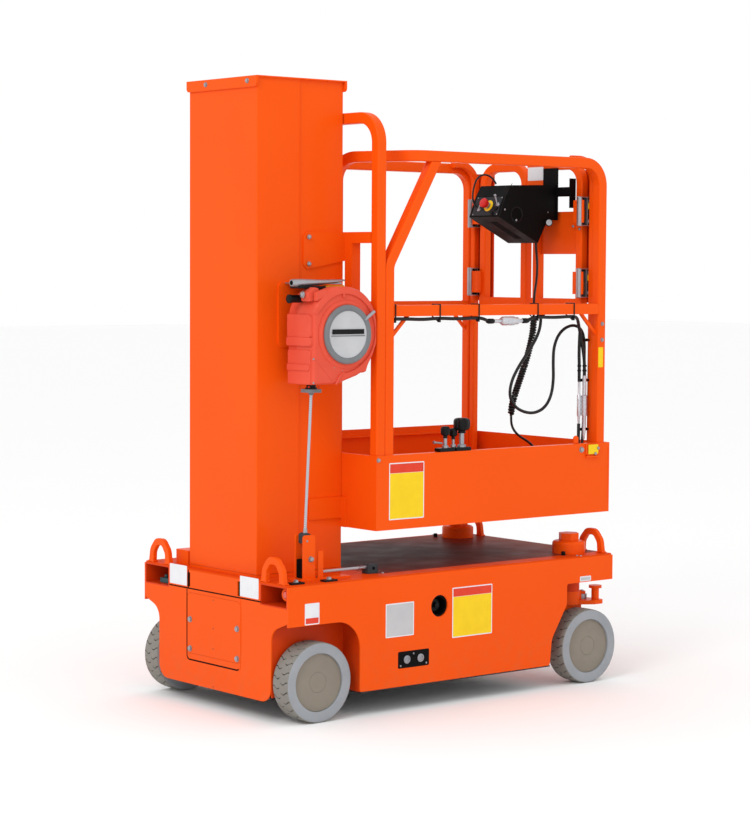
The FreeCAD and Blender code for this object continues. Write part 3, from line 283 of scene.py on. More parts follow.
@dataclass(frozen=True)
class Enamel(Finish):
    """Gloss enamel on sheet steel: slight orange peel, and a little dust low down."""

    dust: Colour = screen(196, 112, 70)
    dust_rise: Flat = (0.04, 0.3)
    dust_share: float = 0.22

    def tint(self, graph: Graph) -> bpy.types.NodeSocket:
        """The enamel's colour, with dust near the floor.

        Args:
            graph: The material's node tree.

        Returns:
            The colour.
        """
        base = super().tint(graph)
        low = graph.spread(graph.height(), *self.dust_rise, self.dust_share, 0.0)
        return graph.mix(graph.times(low, graph.spread(graph.noise(35.0, 5.0), 0.4, 0.75)),
                         base, self.dust)


@dataclass(frozen=True)
class ShadedDeck(Finish):
    """Deck enamel: plain along the edges, with painted shade under the platform and a painted
    reflection further back.
    """

    shade_tone: Colour = screen(104, 30, 14)
    shade_deep: Colour = screen(74, 22, 11)
    reflection_tone: Colour = screen(160, 78, 58)
    front_edge: Flat = (-0.315, -0.27)
    near_edge: Flat = (-0.338, -0.318)
    far_edge: Flat = (0.375, 0.385)
    reflection_run: Flat = (0.2, 0.7)
    reflection_share: float = 0.7

    def tint(self, graph: Graph) -> bpy.types.NodeSocket:
        """The enamel, with painted shade over the field between the deck's edges, turning paler
        towards the rear with a painted reflection.

        Args:
            graph: The material's node tree.

        Returns:
            The colour.
        """
        parts = graph.add("ShaderNodeSeparateXYZ")
        graph.join(graph.place, parts.inputs[0])
        along, across = parts.outputs["X"], parts.outputs["Y"]
        # Painted shade: the field under the platform, inside the front, near and far edges, is
        # darkened.
        field = graph.times(graph.spread(along, *self.front_edge),
                            graph.spread(across, *self.near_edge))
        field = graph.times(field, graph.spread(across, *self.far_edge, 1.0, 0.0))
        base = super().tint(graph)
        # The painted shade's colour drifts between two dark browns.
        painted_shade = graph.mix(graph.spread(graph.noise(2.2, 3.0), 0.35, 0.65), self.shade_tone,
                         self.shade_deep)
        # Painted reflection: the shade turns paler towards the rear.
        painted_shade = graph.mix(graph.spread(along, *self.reflection_run, 0.0, self.reflection_share), painted_shade,
                         self.reflection_tone)
        return graph.mix(field, base, painted_shade)


@dataclass(frozen=True)
class Brushed(Finish):
    """Bright plated or drawn metal with fine lines one way."""

    lines: Point = (1, 1, 12)

    def pattern(self, graph: Graph) -> bpy.types.NodeSocket:
        """Fine drawn lines."""
        return graph.noise(self.grain, 3.0, self.lines)


@dataclass(frozen=True)
class Braid(Finish):
    """A braided steel cord: slanted strands, with a painted highlight on each strand and painted
    shade between them.
    """

    strands: float = 420.0
    wave_lead: float = 6.28
    slant: Point = (0.6, 0.7, 0.2)

    def weave(self, graph: Graph) -> bpy.types.NodeSocket:
        """Slanted strands as a value.

        Args:
            graph: The material's node tree.

        Returns:
            The value, 0 between strands and 1 on them.
        """
        mapping = graph.add("ShaderNodeMapping")
        mapping.inputs["Rotation"].default_value = self.slant
        graph.join(graph.place, mapping.inputs["Vector"])
        wave = graph.add("ShaderNodeTexWave")
        wave.inputs["Scale"].default_value = self.strands / self.wave_lead
        wave.inputs["Distortion"].default_value = 0.4
        graph.join(mapping.outputs["Vector"], wave.inputs["Vector"])
        return wave.outputs["Fac"]

    def pattern(self, graph: Graph) -> bpy.types.NodeSocket:
        """The strands as relief."""
        return self.weave(graph)

    def tint(self, graph: Graph) -> bpy.types.NodeSocket:
        """The strands as colour: painted highlight on them, painted shade between."""
        # Painted highlight and shade: pale on the strands, dark in the gaps.
        return graph.mix(self.weave(graph), self.drift, self.colour)


@dataclass(frozen=True)
class Tread(Finish):
    """Grey solid rubber, dusty and scuffed where it meets the floor."""

    scuff: Colour = screen(120, 116, 108)
    scuff_share: float = 0.5

    def tint(self, graph: Graph) -> bpy.types.NodeSocket:
        """Rubber with scuffs.

        Args:
            graph: The material's node tree.

        Returns:
            The colour.
        """
        marks = graph.spread(graph.noise(70.0, 6.0), 0.55, 0.75, 0.0, self.scuff_share)
        return graph.mix(marks, super().tint(graph), self.scuff)


ORANGE = Enamel("orange_enamel", screen(238, 86, 12), screen(235, 82, 10), rough=0.34,
                rough_play=0.04, coat=0.03, gloss=0.07, cloud=2.0, grain=420.0,
                grain_strength=0.03)
# A darker copy of the orange enamel for faces that lie in shade: painted shade.
SHADED_ORANGE = Enamel("orange_enamel_shaded", screen(214, 62, 8), screen(204, 56, 8), rough=0.42,
             rough_play=0.06, gloss=0.12, cloud=3.0, grain=520.0, grain_strength=0.06)
# The deck's tint paints the shade under the platform and a reflection further back.
DECK = ShadedDeck("deck_enamel", screen(222, 74, 16), screen(214, 68, 14), rough=0.4,
                rough_play=0.05, gloss=0.01, cloud=3.0, grain=420.0, grain_strength=0.03)
BLACK = Finish("black_powder_coat", screen(10, 10, 10), screen(14, 13, 13), rough=0.5,
               gloss=0.06, grain=1500.0, grain_strength=0.12)
PANEL = Finish("control_panel_film", screen(46, 47, 51), screen(38, 39, 43), rough=0.4,
               gloss=0.14, cloud=14.0, grain_strength=0.05)
MOULDED = Finish("black_moulding", screen(11, 11, 12), screen(16, 16, 17), rough=0.38,
                 gloss=0.16, grain=1100.0, grain_strength=0.15)
SHEATH = Finish("black_cord_sheath", screen(12, 12, 13), screen(17, 17, 18), rough=0.36,
                gloss=0.3, grain=700.0, grain_strength=0.15)
ZINC = Brushed("zinc_plate", screen(168, 170, 174), screen(150, 152, 157), rough=0.36, metal=0.8,
               cloud=14.0, grain=500.0, grain_strength=0.04)
ALLOY = Brushed("drawn_section", screen(176, 178, 182), screen(160, 163, 168), rough=0.38,
                metal=0.85, cloud=8.0, grain=700.0, grain_strength=0.08, lines=(12, 12, 1))
BRIGHT = Brushed("bright_tube", screen(206, 208, 212), screen(188, 190, 196), rough=0.3,
                 metal=0.6, cloud=20.0, grain=500.0, grain_strength=0.04)
CORD_STEEL = Braid("braided_cord", screen(206, 214, 220), screen(128, 136, 144), rough=0.4,
                   metal=0.2, grain_strength=0.4, grain_depth=0.0006)
RUBBER = Tread("grey_tyre", screen(139, 136, 129), screen(129, 126, 120), rough=0.75, cloud=9.0,
               gloss=0.12, grain=600.0, grain_strength=0.3)
RING = Finish("tyre_wall", screen(153, 157, 162), screen(144, 148, 153), rough=0.6, cloud=12.0,
              gloss=0.16, grain=500.0, grain_strength=0.2)
# Used as painted shade inside the tyre cuts, and for the small front plugs.
GROOVE = Finish("tyre_groove", screen(58, 57, 54), screen(72, 70, 66), rough=0.85, cloud=30.0,
                gloss=0.1)
HUB = Finish("wheel_paint", screen(138, 130, 118), screen(130, 122, 111), rough=0.55, cloud=9.0,
             gloss=0.16, grain=800.0, grain_strength=0.15)
CORAL = Finish("reel_moulding", screen(222, 84, 62), screen(214, 77, 56), rough=0.4, cloud=9.0,
               gloss=0.16, grain=1300.0, grain_strength=0.12)
RING_GREY = Finish("reel_ring", screen(118, 121, 123), screen(108, 111, 114), rough=0.4,
                   gloss=0.3, cloud=20.0)
DISC = Finish("reel_disc_face", screen(190, 191, 193), screen(181, 182, 185), rough=0.42,
              gloss=0.25, cloud=14.0)
DARK_GREY = Finish("dark_casting", screen(62, 70, 74), screen(50, 57, 61), rough=0.5, cloud=40.0,
                   gloss=0.12, grain=900.0, grain_strength=0.3)
BRASS = Brushed("brass_spring", screen(196, 128, 46), screen(158, 92, 30), rough=0.36, metal=0.8,
                cloud=60.0)
BRASS_YELLOW = Finish("yellow_wedge", screen(214, 160, 30), screen(196, 140, 24), rough=0.4,
                      gloss=0.12, cloud=30.0)
WHITE = Finish("white_film", screen(226, 228, 231), screen(218, 220, 224), rough=0.4,
               gloss=0.1, cloud=25.0, grain_strength=0.03)
YELLOW = Finish("yellow_film", screen(240, 204, 20), screen(234, 196, 16), rough=0.35,
                cloud=25.0, grain_strength=0.03)
RED = Finish("red_film", screen(222, 66, 40), screen(212, 56, 34), rough=0.35,
             cloud=25.0, grain_strength=0.03)
STOP_RED = Finish("stop_button", screen(206, 34, 30), screen(192, 26, 24), rough=0.3, coat=0.1,
                  cloud=60.0)
LAMP = Finish("lamp_lens", screen(214, 92, 80), screen(190, 70, 60), rough=0.2, coat=0.3,
              cloud=60.0)
TEAL = Finish("valve_paint", screen(60, 96, 100), screen(44, 74, 78), rough=0.5, cloud=60.0)
CASE = Finish("cased_block", screen(44, 44, 46), screen(34, 34, 36), rough=0.6, cloud=9.0)
# Near black: the open joints' own dark, and painted shade in holes and recesses.
VOID = Finish("dark_opening", screen(9, 8, 8), screen(14, 12, 11), rough=0.8, cloud=30.0,
              gloss=0.05)


@functools.cache
def material_of(finish: Finish) -> bpy.types.Material:
    """The one material of a finish."""
    return finish.build()


# ---------------------------------------------------------------- mesh making


def unit(direction: Axis | Point) -> Vector:
    """A direction as a vector of length one."""
    return Vector(direction.value if isinstance(direction, Axis) else direction).normalized()


def square_to(direction: Vector) -> tuple[Vector, Vector]:
    """Two directions square to one and to each other.

    Args:
        direction: A vector of length one.

    Returns:
        The two directions.
    """
    helper = Vector((0, 0, 1)) if abs(direction.z) < 0.9 else Vector((1, 0, 0))
    side = helper.cross(direction).normalized()
    return side, direction.cross(side)


def rounded(corners: list[Point], steps: int = 6) -> list[Flat]:
    """An outline with its corners rounded.

    Args:
        corners: Two coordinates and a radius for each corner, in order.
        steps: Points on each rounded corner, less one.

    Returns:
        The outline's points.
    """
    outline = []
    for index, (across, up, radius) in enumerate(corners):
        here = Vector((across, up))
        back = (Vector(corners[index - 1][:2]) - here).normalized()
        ahead = (Vector(corners[(index + 1) % len(corners)][:2]) - here).normalized()
        if radius <= 0:
            outline.append((across, up))
            continue
        half = back.angle(ahead) / 2
        start = here + back * radius / math.tan(half)
        finish = here + ahead * radius / math.tan(half)
        centre = here + (back + ahead).normalized() * radius / math.sin(half)
        sweep = (start - centre).angle_signed(finish - centre)
        for step in range(steps + 1):
            turn = Matrix.Rotation(-sweep * step / steps, 2)
            outline.append(tuple(centre + turn @ (start - centre)))
    return outline


class Shape:
    """A mesh in the making, in millimetres."""

    def __init__(self) -> None:
        """Starts an empty mesh."""
        self.mesh = bmesh.new()
        self.tone = 0

    def face(self, corners: list[bmesh.types.BMVert]) -> None:
        """Adds a face in the present tone.

        Args:
            corners: Its corners, in order.
        """
        face = self.mesh.faces.new(corners)
        face.material_index = self.tone
        face.smooth = True

    def skin(self, rings: list[list[Vector]], capped: bool = True, looped: bool = False) -> None:
        """Joins rings of points into a skin.

        Args:
            rings: Closed rings, each with the same number of points.
            capped: Whether the ends are closed.
            looped: Whether the last ring joins the first.
        """
        rows = [[self.mesh.verts.new(point) for point in ring] for ring in rings]
        pairs = list(zip(rows, rows[1:]))
        if looped:
            pairs.append((rows[-1], rows[0]))
        for lower, upper in pairs:
            for index, corner in enumerate(lower):
                following = (index + 1) % len(lower)
                self.face([corner, lower[following], upper[following], upper[index]])
        if capped and not looped:
            self.face(rows[0][::-1])
            self.face(rows[-1])

    def prism(self, outline: list[Flat], across: Axis, start: float, end: float) -> None:
        """A flat outline given thickness.

        Args:
            outline: Corners in the two other axes, in the order X, Y, Z.
            across: The axis of the thickness: X, Y or Z.
            start: Where the thickness starts.
            end: Where it ends.
        """
        slot = {Axis.X: 0, Axis.Y: 1, Axis.Z: 2}[across]
        rings = []
        for level in (start, end):
            ring = []
            for corner in outline:
                point = list(corner)
                point.insert(slot, level)
                ring.append(Vector(point))
            rings.append(ring)
        self.skin(rings)

    def block(self, low: Point, high: Point) -> None:
        """A rectangular block between two corners."""
        outline = [(low[0], low[1]), (high[0], low[1]), (high[0], high[1]), (low[0], high[1])]
        self.prism(outline, Axis.Z, low[2], high[2])

    def lathe(self, profile: list[Flat], base: Point, along: Axis | Point, steps: int = 32,
              turn: float = 0.0) -> None:
        """A turned form.

        Args:
            profile: Radius and height pairs from one end to the other.
            base: The point on the axis where heights start.
            along: The axis.
            steps: Facets round it.
            turn: Rotation of the first facet, in radians.
        """
        axis = unit(along)
        side, other = square_to(axis)
        rings = []
        for radius, rise in profile:
            ring = []
            for step in range(steps):
                angle = turn + math.tau * step / steps
                spoke = side * math.cos(angle) + other * math.sin(angle)
                ring.append(Vector(base) + axis * rise + spoke * max(radius, 0.02))
            rings.append(ring)
        self.skin(rings)

    def rod(self, start: Point, end: Point, radius: float, tip: float | None = None,
            steps: int = 20) -> None:
        """A round rod or cone between two points.

        Args:
            start: One end.
            end: The other end.
            radius: Radius at the start.
            tip: Radius at the end, or None for the same.
            steps: Facets round it.
        """
        run = Vector(end) - Vector(start)
        self.lathe([(radius, 0.0), (radius if tip is None else tip, run.length)], start,
                   tuple(run.normalized()), steps)

    def pipe(self, points: list[Vector], radius: float, steps: int = 12,
             looped: bool = False) -> None:
        """A tube that follows points.

        Args:
            points: The points of its centre line.
            radius: Its radius.
            steps: Facets round it.
            looped: Whether it closes on itself.
        """
        path = [Vector(point) for point in points]
        count = len(path)
        rings = []
        side = None
        for index, point in enumerate(path):
            before = path[index - 1] if index or looped else point
            after = path[(index + 1) % count] if index < count - 1 or looped else point
            ahead = (after - before).normalized()
            if side is None:
                side = square_to(ahead)[0]
            side = (side - ahead * side.dot(ahead)).normalized()
            other = ahead.cross(side)
            rings.append([point + (side * math.cos(math.tau * step / steps)
                                   + other * math.sin(math.tau * step / steps)) * radius
                          for step in range(steps)])
        self.skin(rings, looped=looped)

    def coil(self, foot: Point, radius: float, height: float, turns: int, steps: int,
             wire: float) -> None:
        """An upright coil spring.

        Args:
            foot: The point on its axis at its lower end.
            radius: Radius of the coil.
            height: Its height.
            turns: How many turns it has.
            steps: Points on each turn.
            wire: Radius of the wire.
        """
        x, y, z = foot
        points = []
        for index in range(turns * steps + 1):
            angle = math.tau * index / steps
            points.append(Vector((x + radius * math.cos(angle), y + radius * math.sin(angle),
                                  z + height * index / (turns * steps))))
        self.pipe(points, wire, 8)

    def bolt(self, base: Point, along: Axis | Point, across: float = 8.0, height: float = 4.0,
             washer: float = 8.0) -> None:
        """A hexagon bolt head on a washer.

        Args:
            base: The point on the surface.
            along: The direction it stands out.
            across: Radius to the corners of the head.
            height: Height of the head.
            washer: Radius of the washer, or 0 for none.
        """
        seat = 0.0
        if washer:
            seat = 1.4
            self.lathe([(washer, 0), (washer, seat * 0.7), (washer - 0.5, seat)], base, along, 24)
        self.lathe([(across, seat), (across, seat + height - 0.8),
                    (across * 0.84, seat + height)], base, along, 6, 0.3)
        self.lathe([(across * 0.78, seat + height - 0.2), (across * 0.6, seat + height + 0.7)],
                   base, along, 18)

    def button_screw(self, base: Point, along: Axis | Point, radius: float = 7.0) -> None:
        """A low domed screw head with a socket.

        Args:
            base: The point on the surface.
            along: The direction it stands out.
            radius: Radius of the head.
        """
        self.lathe([(radius, 0), (radius * 0.97, radius * 0.22), (radius * 0.8, radius * 0.46),
                    (radius * 0.5, radius * 0.58), (radius * 0.36, radius * 0.58),
                    (radius * 0.32, radius * 0.3)], base, along, 24)

    def place(self, name: str, body: str, finishes: list[Finish], bevel: float = 0.0,
              keeps: float = 38.0) -> bpy.types.Object:
        """Turns the mesh into a piece that rides on a body.

        Args:
            name: The piece's name.
            body: The body that carries it.
            finishes: Its finishes, in the order of the tones.
            bevel: Width of the eased edges.
            keeps: The angle in degrees from which an edge looks sharp.

        Returns:
            The new piece.
        """
        bmesh.ops.recalc_face_normals(self.mesh, faces=self.mesh.faces[:])
        bmesh.ops.scale(self.mesh, vec=(MM, MM, MM), verts=self.mesh.verts[:])
        data = bpy.data.meshes.new(name)
        self.mesh.to_mesh(data)
        self.mesh.free()
        data.set_sharp_from_angle(angle=math.radians(keeps))
        piece = bpy.data.objects.new(name, data)
        bpy.context.scene.collection.objects.link(piece)
        for finish in finishes:
            data.materials.append(material_of(finish))
        if bevel:
            eased = piece.modifiers.new("eased_edges", "BEVEL")
            eased.width = bevel * MM
            eased.segments = 2
            eased.limit_method = "ANGLE"
            eased.angle_limit = math.radians(40)
            eased.harden_normals = True
        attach(piece, body)
        return piece


def route_curve(name: str, route: list[Point], radius: float) -> bpy.types.Object:
    """A smooth curve with the route's points as its control points.

    Args:
        name: The curve's name.
        route: Points in millimetres.
        radius: Radius of the tube, or 0 for a bare line.

    Returns:
        The curve object.
    """
    curve = bpy.data.curves.new(name, "CURVE")
    curve.dimensions = "3D"
    curve.resolution_u = 10
    curve.bevel_depth = radius * MM
    curve.bevel_resolution = 4
    curve.use_fill_caps = True
    spline = curve.splines.new("NURBS")
    spline.points.add(len(route) - 1)
    for control, point in zip(spline.points, route):
        control.co = (point[0] * MM, point[1] * MM, point[2] * MM, 1.0)
    spline.order_u = 3
    spline.use_endpoint_u = True
    cable = bpy.data.objects.new(name, curve)
    bpy.context.scene.collection.objects.link(cable)
    return cable


def read_route(route: list[Point]) -> list[Vector]:
    """The points of the smooth line of a route, in millimetres.

    Args:
        route: The control points.

    Returns:
        Points along the smooth line, in order.
    """
    line = route_curve("route_line", route, 0.0)
    mesh = bpy.data.meshes.new_from_object(line)
    points = [vertex.co / MM for vertex in mesh.vertices]
    bpy.data.meshes.remove(mesh)
    bpy.data.curves.remove(line.data)
    return points


def run_length(points: list[Vector]) -> float:
    """The length of a line of points."""
    return sum((after - before).length for before, after in zip(points, points[1:]))


def dress(finish: Finish, *nodes: str) -> None:
    """Gives solids their finish.

    Args:
        finish: The finish.
        *nodes: Names of the solids.
    """
    for node in nodes:
        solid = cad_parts[node]
        solid.data.materials.clear()
        solid.data.materials.append(material_of(finish))


# ---------------------------------------------------------------- camera


@dataclass
class Viewpoint:
    """The place and lens from which the lift is seen."""

    place: Point = (-4929.8, -5991.7, 1398.7)
    yaw: float = 0.6841
    pitch: float = -0.065
    roll: float = 0.0055
    focal: float = 2338.475
    frame_height: float = 837.0
    sensor: float = 36.0

    def build(self) -> None:
        """Makes the camera and gives it to the scene."""
        ahead = Vector((math.sin(self.yaw) * math.cos(self.pitch),
                        math.cos(self.yaw) * math.cos(self.pitch), math.sin(self.pitch)))
        level = Vector((math.cos(self.yaw), -math.sin(self.yaw), 0))
        over = level.cross(ahead)
        right = level * math.cos(self.roll) + over * math.sin(self.roll)
        up = over * math.cos(self.roll) - level * math.sin(self.roll)
        lens = bpy.data.cameras.new("viewpoint")
        lens.sensor_width = self.sensor
        lens.lens = self.focal / self.frame_height * self.sensor
        lens.clip_end = 200
        camera = bpy.data.objects.new("viewpoint", lens)
        turn = Matrix((right, up, -ahead)).transposed().to_4x4()
        camera.matrix_world = Matrix.Translation(Vector(self.place) * MM) @ turn
        bpy.context.scene.collection.objects.link(camera)
        bpy.context.scene.camera = camera


# ---------------------------------------------------------------- cords


@dataclass
class PlatformCords:
    """The free cords in the platform: the box's curly cord and the hanging loop."""

    wire: float = 4.2
    curl_reach: float = 8.3
    curl_pitch: float = 8.9
    loop_radius: float = 5.2
    curl_steps: int = 14
    straight_end: float = 8.0
    curl_ease: float = 0.8
    hinge_side: Point = (0.58, -0.1, 1.49)
    floor_side: Point = (0.58, -0.1, 1.24)

    upper: tuple[Point, ...] = (
        (583, -100, 1500), (583, -100, 1466), (592, -99, 1418), (591, -98, 1358),
        (579, -99, 1307), (576, -100, 1268), (576, -100, 1231))
    curled: tuple[Point, ...] = (
        (576, -100, 1231), (576, -100, 1190), (562, -102, 1138), (541, -105, 1086),
        (516, -108, 1034), (490, -112, 986), (472, -115, 950), (463, -117, 926),
        (459, -118, 906), (459, -118, 886))
    lower: tuple[Point, ...] = (
        (459, -118, 886), (459, -118, 871), (465, -119, 851), (480, -121, 832),
        (503, -124, 816), (532, -128, 801), (560, -132, 776), (583, -136, 738),
        (597, -139, 690), (602, -140, 645), (602, -140, 596))
    loop: tuple[Point, ...] = (
        (401, -322, 1231), (401, -322, 1208), (389, -320, 1172), (364, -317, 1134),
        (336, -314, 1100), (308, -311, 1064), (284, -308, 1022), (277, -306, 975),
        (303, -304, 938), (348, -302, 918), (398, -301, 913), (445, -300, 930),
        (475, -298, 968), (486, -297, 1022), (484, -296, 1080), (488, -294, 1132),
        (510, -293, 1174), (548, -291, 1199), (592, -290, 1205), (625, -289, 1186),
        (637, -288, 1148), (638, -287, 1090), (637, -288.5, 1015), (637.5, -287, 940),
        (635, -289, 870), (627, -293, 815), (616, -299, 765), (609, -304, 712),
        (608, -305, 655), (608, -305, 596))

    def curls(self) -> list[Vector]:
        """The points of the curly stretch, wound about its route.

        Returns:
            Points in millimetres.
        """
        line = read_route(list(self.curled))
        total = run_length(line)
        wound = total - 2 * self.straight_end
        turns = int(wound / self.curl_pitch)
        steps = self.curl_steps
        points = []
        for index in range(turns * steps + 1):
            share = index / (turns * steps)
            goal = self.straight_end + wound * share
            gone = 0.0
            for before, after in zip(line, line[1:]):
                length = (after - before).length
                if gone + length >= goal:
                    ahead = (after - before).normalized()
                    centre = before + ahead * (goal - gone)
                    break
                gone += length
            side, other = square_to(ahead)
            ease = min(1.0, share * turns / self.curl_ease, (1 - share) * turns / self.curl_ease)
            angle = math.tau * index / steps
            points.append(centre + (side * math.cos(angle) + other * math.sin(angle))
                          * self.curl_reach * ease)
        return points

    def box_cord(self) -> None:
        """The cord from the control box down to the platform floor, curly in its middle."""
        path = read_route(list(self.upper)) + self.curls() + read_route(list(self.lower))[1:]
        shape = Shape()
        shape.pipe(path, self.wire, 8)
        piece = shape.place("box_cord", "gate_near", [SHEATH])
        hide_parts("box_cable", "curly_cord", "cord_tail")
        self.hand_over(piece)

    def hand_over(self, piece: bpy.types.Object) -> None:
        """Takes the cord off the gate leaf and bakes its place into its mesh.

        Args:
            piece: The cord.
        """
        piece.parent = None
        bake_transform(piece)

    def loop_cord(self) -> None:
        """The cord that hangs in a loop between the mid rail and the rear post."""
        piece = route_curve("loop_cord", list(self.loop), self.loop_radius)
        piece.data.materials.append(material_of(SHEATH))
        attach(piece, "carriage")
        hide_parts("loop_cable")
        length = run_length(read_route(list(self.loop)))

    def build(self) -> None:
        """Makes all the platform's cords."""
        self.box_cord()
        self.loop_cord()


# ---------------------------------------------------------------- wheels


@dataclass
class Wheel:
    """A solid grey tyre with cut tread on a flat closed hub."""

    name: str
    axle_x: float
    side: int
    axle_z: float = 124.5
    outer: float = 124.5
    inner: float = 90.0
    near_edge: float = 390.0
    width: float = 76.0
    shoulder: float = 9.0
    pitches: int = 25
    cut_width: float = 2.6
    cut_depth: float = 4.0
    wave: float = 4.6
    wave_run: float = 1.0
    cut_start: float = 0.05
    cut_end: float = 0.44
    crown_drop: float = 2.2
    cut_wall: float = 0.5
    hub_y: float = 318.0

    def across(self, share: float) -> float:
        """Where a share of the width lies, 0 at the outer face."""
        return self.side * (self.near_edge - self.width * share)

    def spot(self, radius: float, angle: float, share: float) -> Vector:
        """A point of the tyre at a radius, an angle and a share of the width."""
        return Vector((self.axle_x + radius * math.cos(angle), self.across(share),
                       self.axle_z + radius * math.sin(angle)))

    def tread(self) -> None:
        """The tyre with wavy cuts that reach in from both shoulders, and its two walls."""
        shape = Shape()
        stations = [0.03, 0.07, 0.12, 0.18, 0.24, 0.3, 0.36, 0.42, 0.47, 0.53, 0.58, 0.64, 0.7,
                    0.76, 0.82, 0.88, 0.93, 0.97]
        pitch = math.tau / self.pitches
        half = self.cut_width / 2 / self.outer
        thin = self.cut_wall / self.outer
        marks = []
        for start, facing in ((0.25 * pitch, "outer"), (0.75 * pitch, "inner")):
            marks += [(start - half - thin, ""), (start - half, facing),
                      (start + half, facing), (start + half + thin, "")]
            marks.append((start + 0.25 * pitch, ""))
        rows = []
        for count in range(self.pitches):
            for mark, facing in marks:
                row = []
                for share in stations:
                    reach = abs(share - 0.5) * 2
                    swing = self.wave / self.outer * math.sin(
                        (reach - 0.1) * self.wave_run * math.tau)
                    angle = count * pitch + mark + swing
                    crown = self.outer - self.crown_drop * reach ** 4
                    cut_here = (facing == "outer" and self.cut_start < share < self.cut_end) or (
                        facing == "inner" and self.cut_start < 1 - share < self.cut_end)
                    row.append(shape.mesh.verts.new(
                        self.spot(crown - (self.cut_depth if cut_here else 0), angle, share)))
                rows.append((row, facing))
        for (row, facing), (ahead, ahead_facing) in zip(rows, rows[1:] + rows[:1]):
            for index in range(len(stations) - 1):
                middle = (stations[index] + stations[index + 1]) / 2
                inside = facing and facing == ahead_facing and (
                    middle < self.cut_end if facing == "outer" else 1 - middle < self.cut_end)
                # Faces inside the cuts take the dark groove finish: painted shade in the cuts.
                shape.tone = 2 if inside else 0
                shape.face([row[index], row[index + 1], ahead[index + 1], ahead[index]])
        for edge, way in ((0, 1), (-1, -1)):
            share = stations[edge]
            bank = 0.0 if edge == 0 else 1.0
            levels = [(self.outer - 3.4, share * 0.6 if edge == 0 else 1 - (1 - share) * 0.6),
                      (self.outer - 9, bank), (self.inner + 9, bank), (self.inner + 2.5, bank),
                      (self.inner, bank + way * 0.03), (self.inner, bank + way * 0.2)]
            previous = [row[edge] for row, _ in rows]
            for level, (radius, place) in enumerate(levels):
                ring = []
                for vert in previous:
                    angle = math.atan2(vert.co.z - self.axle_z, vert.co.x - self.axle_x)
                    ring.append(shape.mesh.verts.new(self.spot(radius, angle, place)))
                shape.tone = 0 if level == 0 else 1
                for index in range(len(ring)):
                    following = (index + 1) % len(ring)
                    shape.face([previous[index], previous[following], ring[following],
                                ring[index]])
                previous = ring
        piece = shape.place("tread_" + self.name, "wheel_" + self.name, [RUBBER, RING, GROOVE])
        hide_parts("tyre_" + self.name)

    def hub(self) -> None:
        """The flat closed hub, with a thin rim and one fine circle round its middle."""
        shape = Shape()
        out = (0, self.side, 0)
        base = (self.axle_x, self.side * self.hub_y, self.axle_z)
        shape.lathe([(60, 6), (84, 6), (self.inner - 0.4, 10), (self.inner - 0.4, 63.5),
                     (self.inner - 1.2, 65), (self.inner - 4, 65), (self.inner - 5, 63.4),
                     (33, 63), (32.2, 62.2), (31.4, 62.2), (30.6, 63), (29.8, 63.5), (2, 63.8)],
                    base, out, 96)
        piece = shape.place("hub_disc_" + self.name, "wheel_" + self.name, [HUB], keeps=30)
        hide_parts("hub_" + self.name)

    def build(self) -> None:
        """Makes the tyre and the hub."""
        self.tread()
        self.hub()


# ---------------------------------------------------------------- blank plates


@dataclass
class BlankLabel:
    """A blank film label: a border, a field and, on some, a band of another colour."""

    name: str
    body: str
    corner: Point
    run: Point
    rise: Point
    width: float
    height: float
    border: Finish = WHITE
    field: Finish = WHITE
    band: Finish | None = None
    band_share: float = 0.16
    margin: float = 3.5
    band_low: bool = False
    round: float = 3.0

    def patch(self, shape: Shape, box: tuple[float, float, float, float], lift: float,
              corner: float) -> None:
        """Adds one rounded layer.

        Args:
            shape: The mesh.
            box: Left, low, right and high along the label.
            lift: Height of the layer's top above the surface.
            corner: Radius of its corners.
        """
        out = Vector(self.run).cross(Vector(self.rise)).normalized()
        left, low, right, high = box
        ring = []
        for middle, from_angle in (((left + corner, low + corner), math.pi),
                                   ((right - corner, low + corner), 1.5 * math.pi),
                                   ((right - corner, high - corner), 0.0),
                                   ((left + corner, high - corner), 0.5 * math.pi)):
            for step in range(5):
                angle = from_angle + step * math.pi / 8
                ring.append((middle[0] + corner * math.cos(angle),
                             middle[1] + corner * math.sin(angle)))
        rings = []
        for level in (0.0, lift):
            rings.append([Vector(self.corner) + Vector(self.run) * across
                          + Vector(self.rise) * up + out * level for across, up in ring])
        shape.skin(rings)

    def build(self) -> None:
        """Makes the label."""
        shape = Shape()
        self.patch(shape, (0, 0, self.width, self.height), 0.5, self.round)
        edge = self.margin
        share = self.height * self.band_share
        split = self.height - edge - share
        shape.tone = 1
        low, high = edge, self.height - edge
        if self.band and self.band_low:
            low = edge + share + 1
        elif self.band:
            high = split - 1
        self.patch(shape, (edge, low, self.width - edge, high), 0.8, 1.0)
        finishes = [self.border, self.field]
        if self.band:
            shape.tone = 2
            place = (edge, edge + share) if self.band_low else (split, self.height - edge)
            self.patch(shape, (edge, place[0], self.width - edge, place[1]), 0.8, 1.0)
            finishes.append(self.band)
        shape.place(self.name, self.body, finishes)


# ---------------------------------------------------------------- chassis


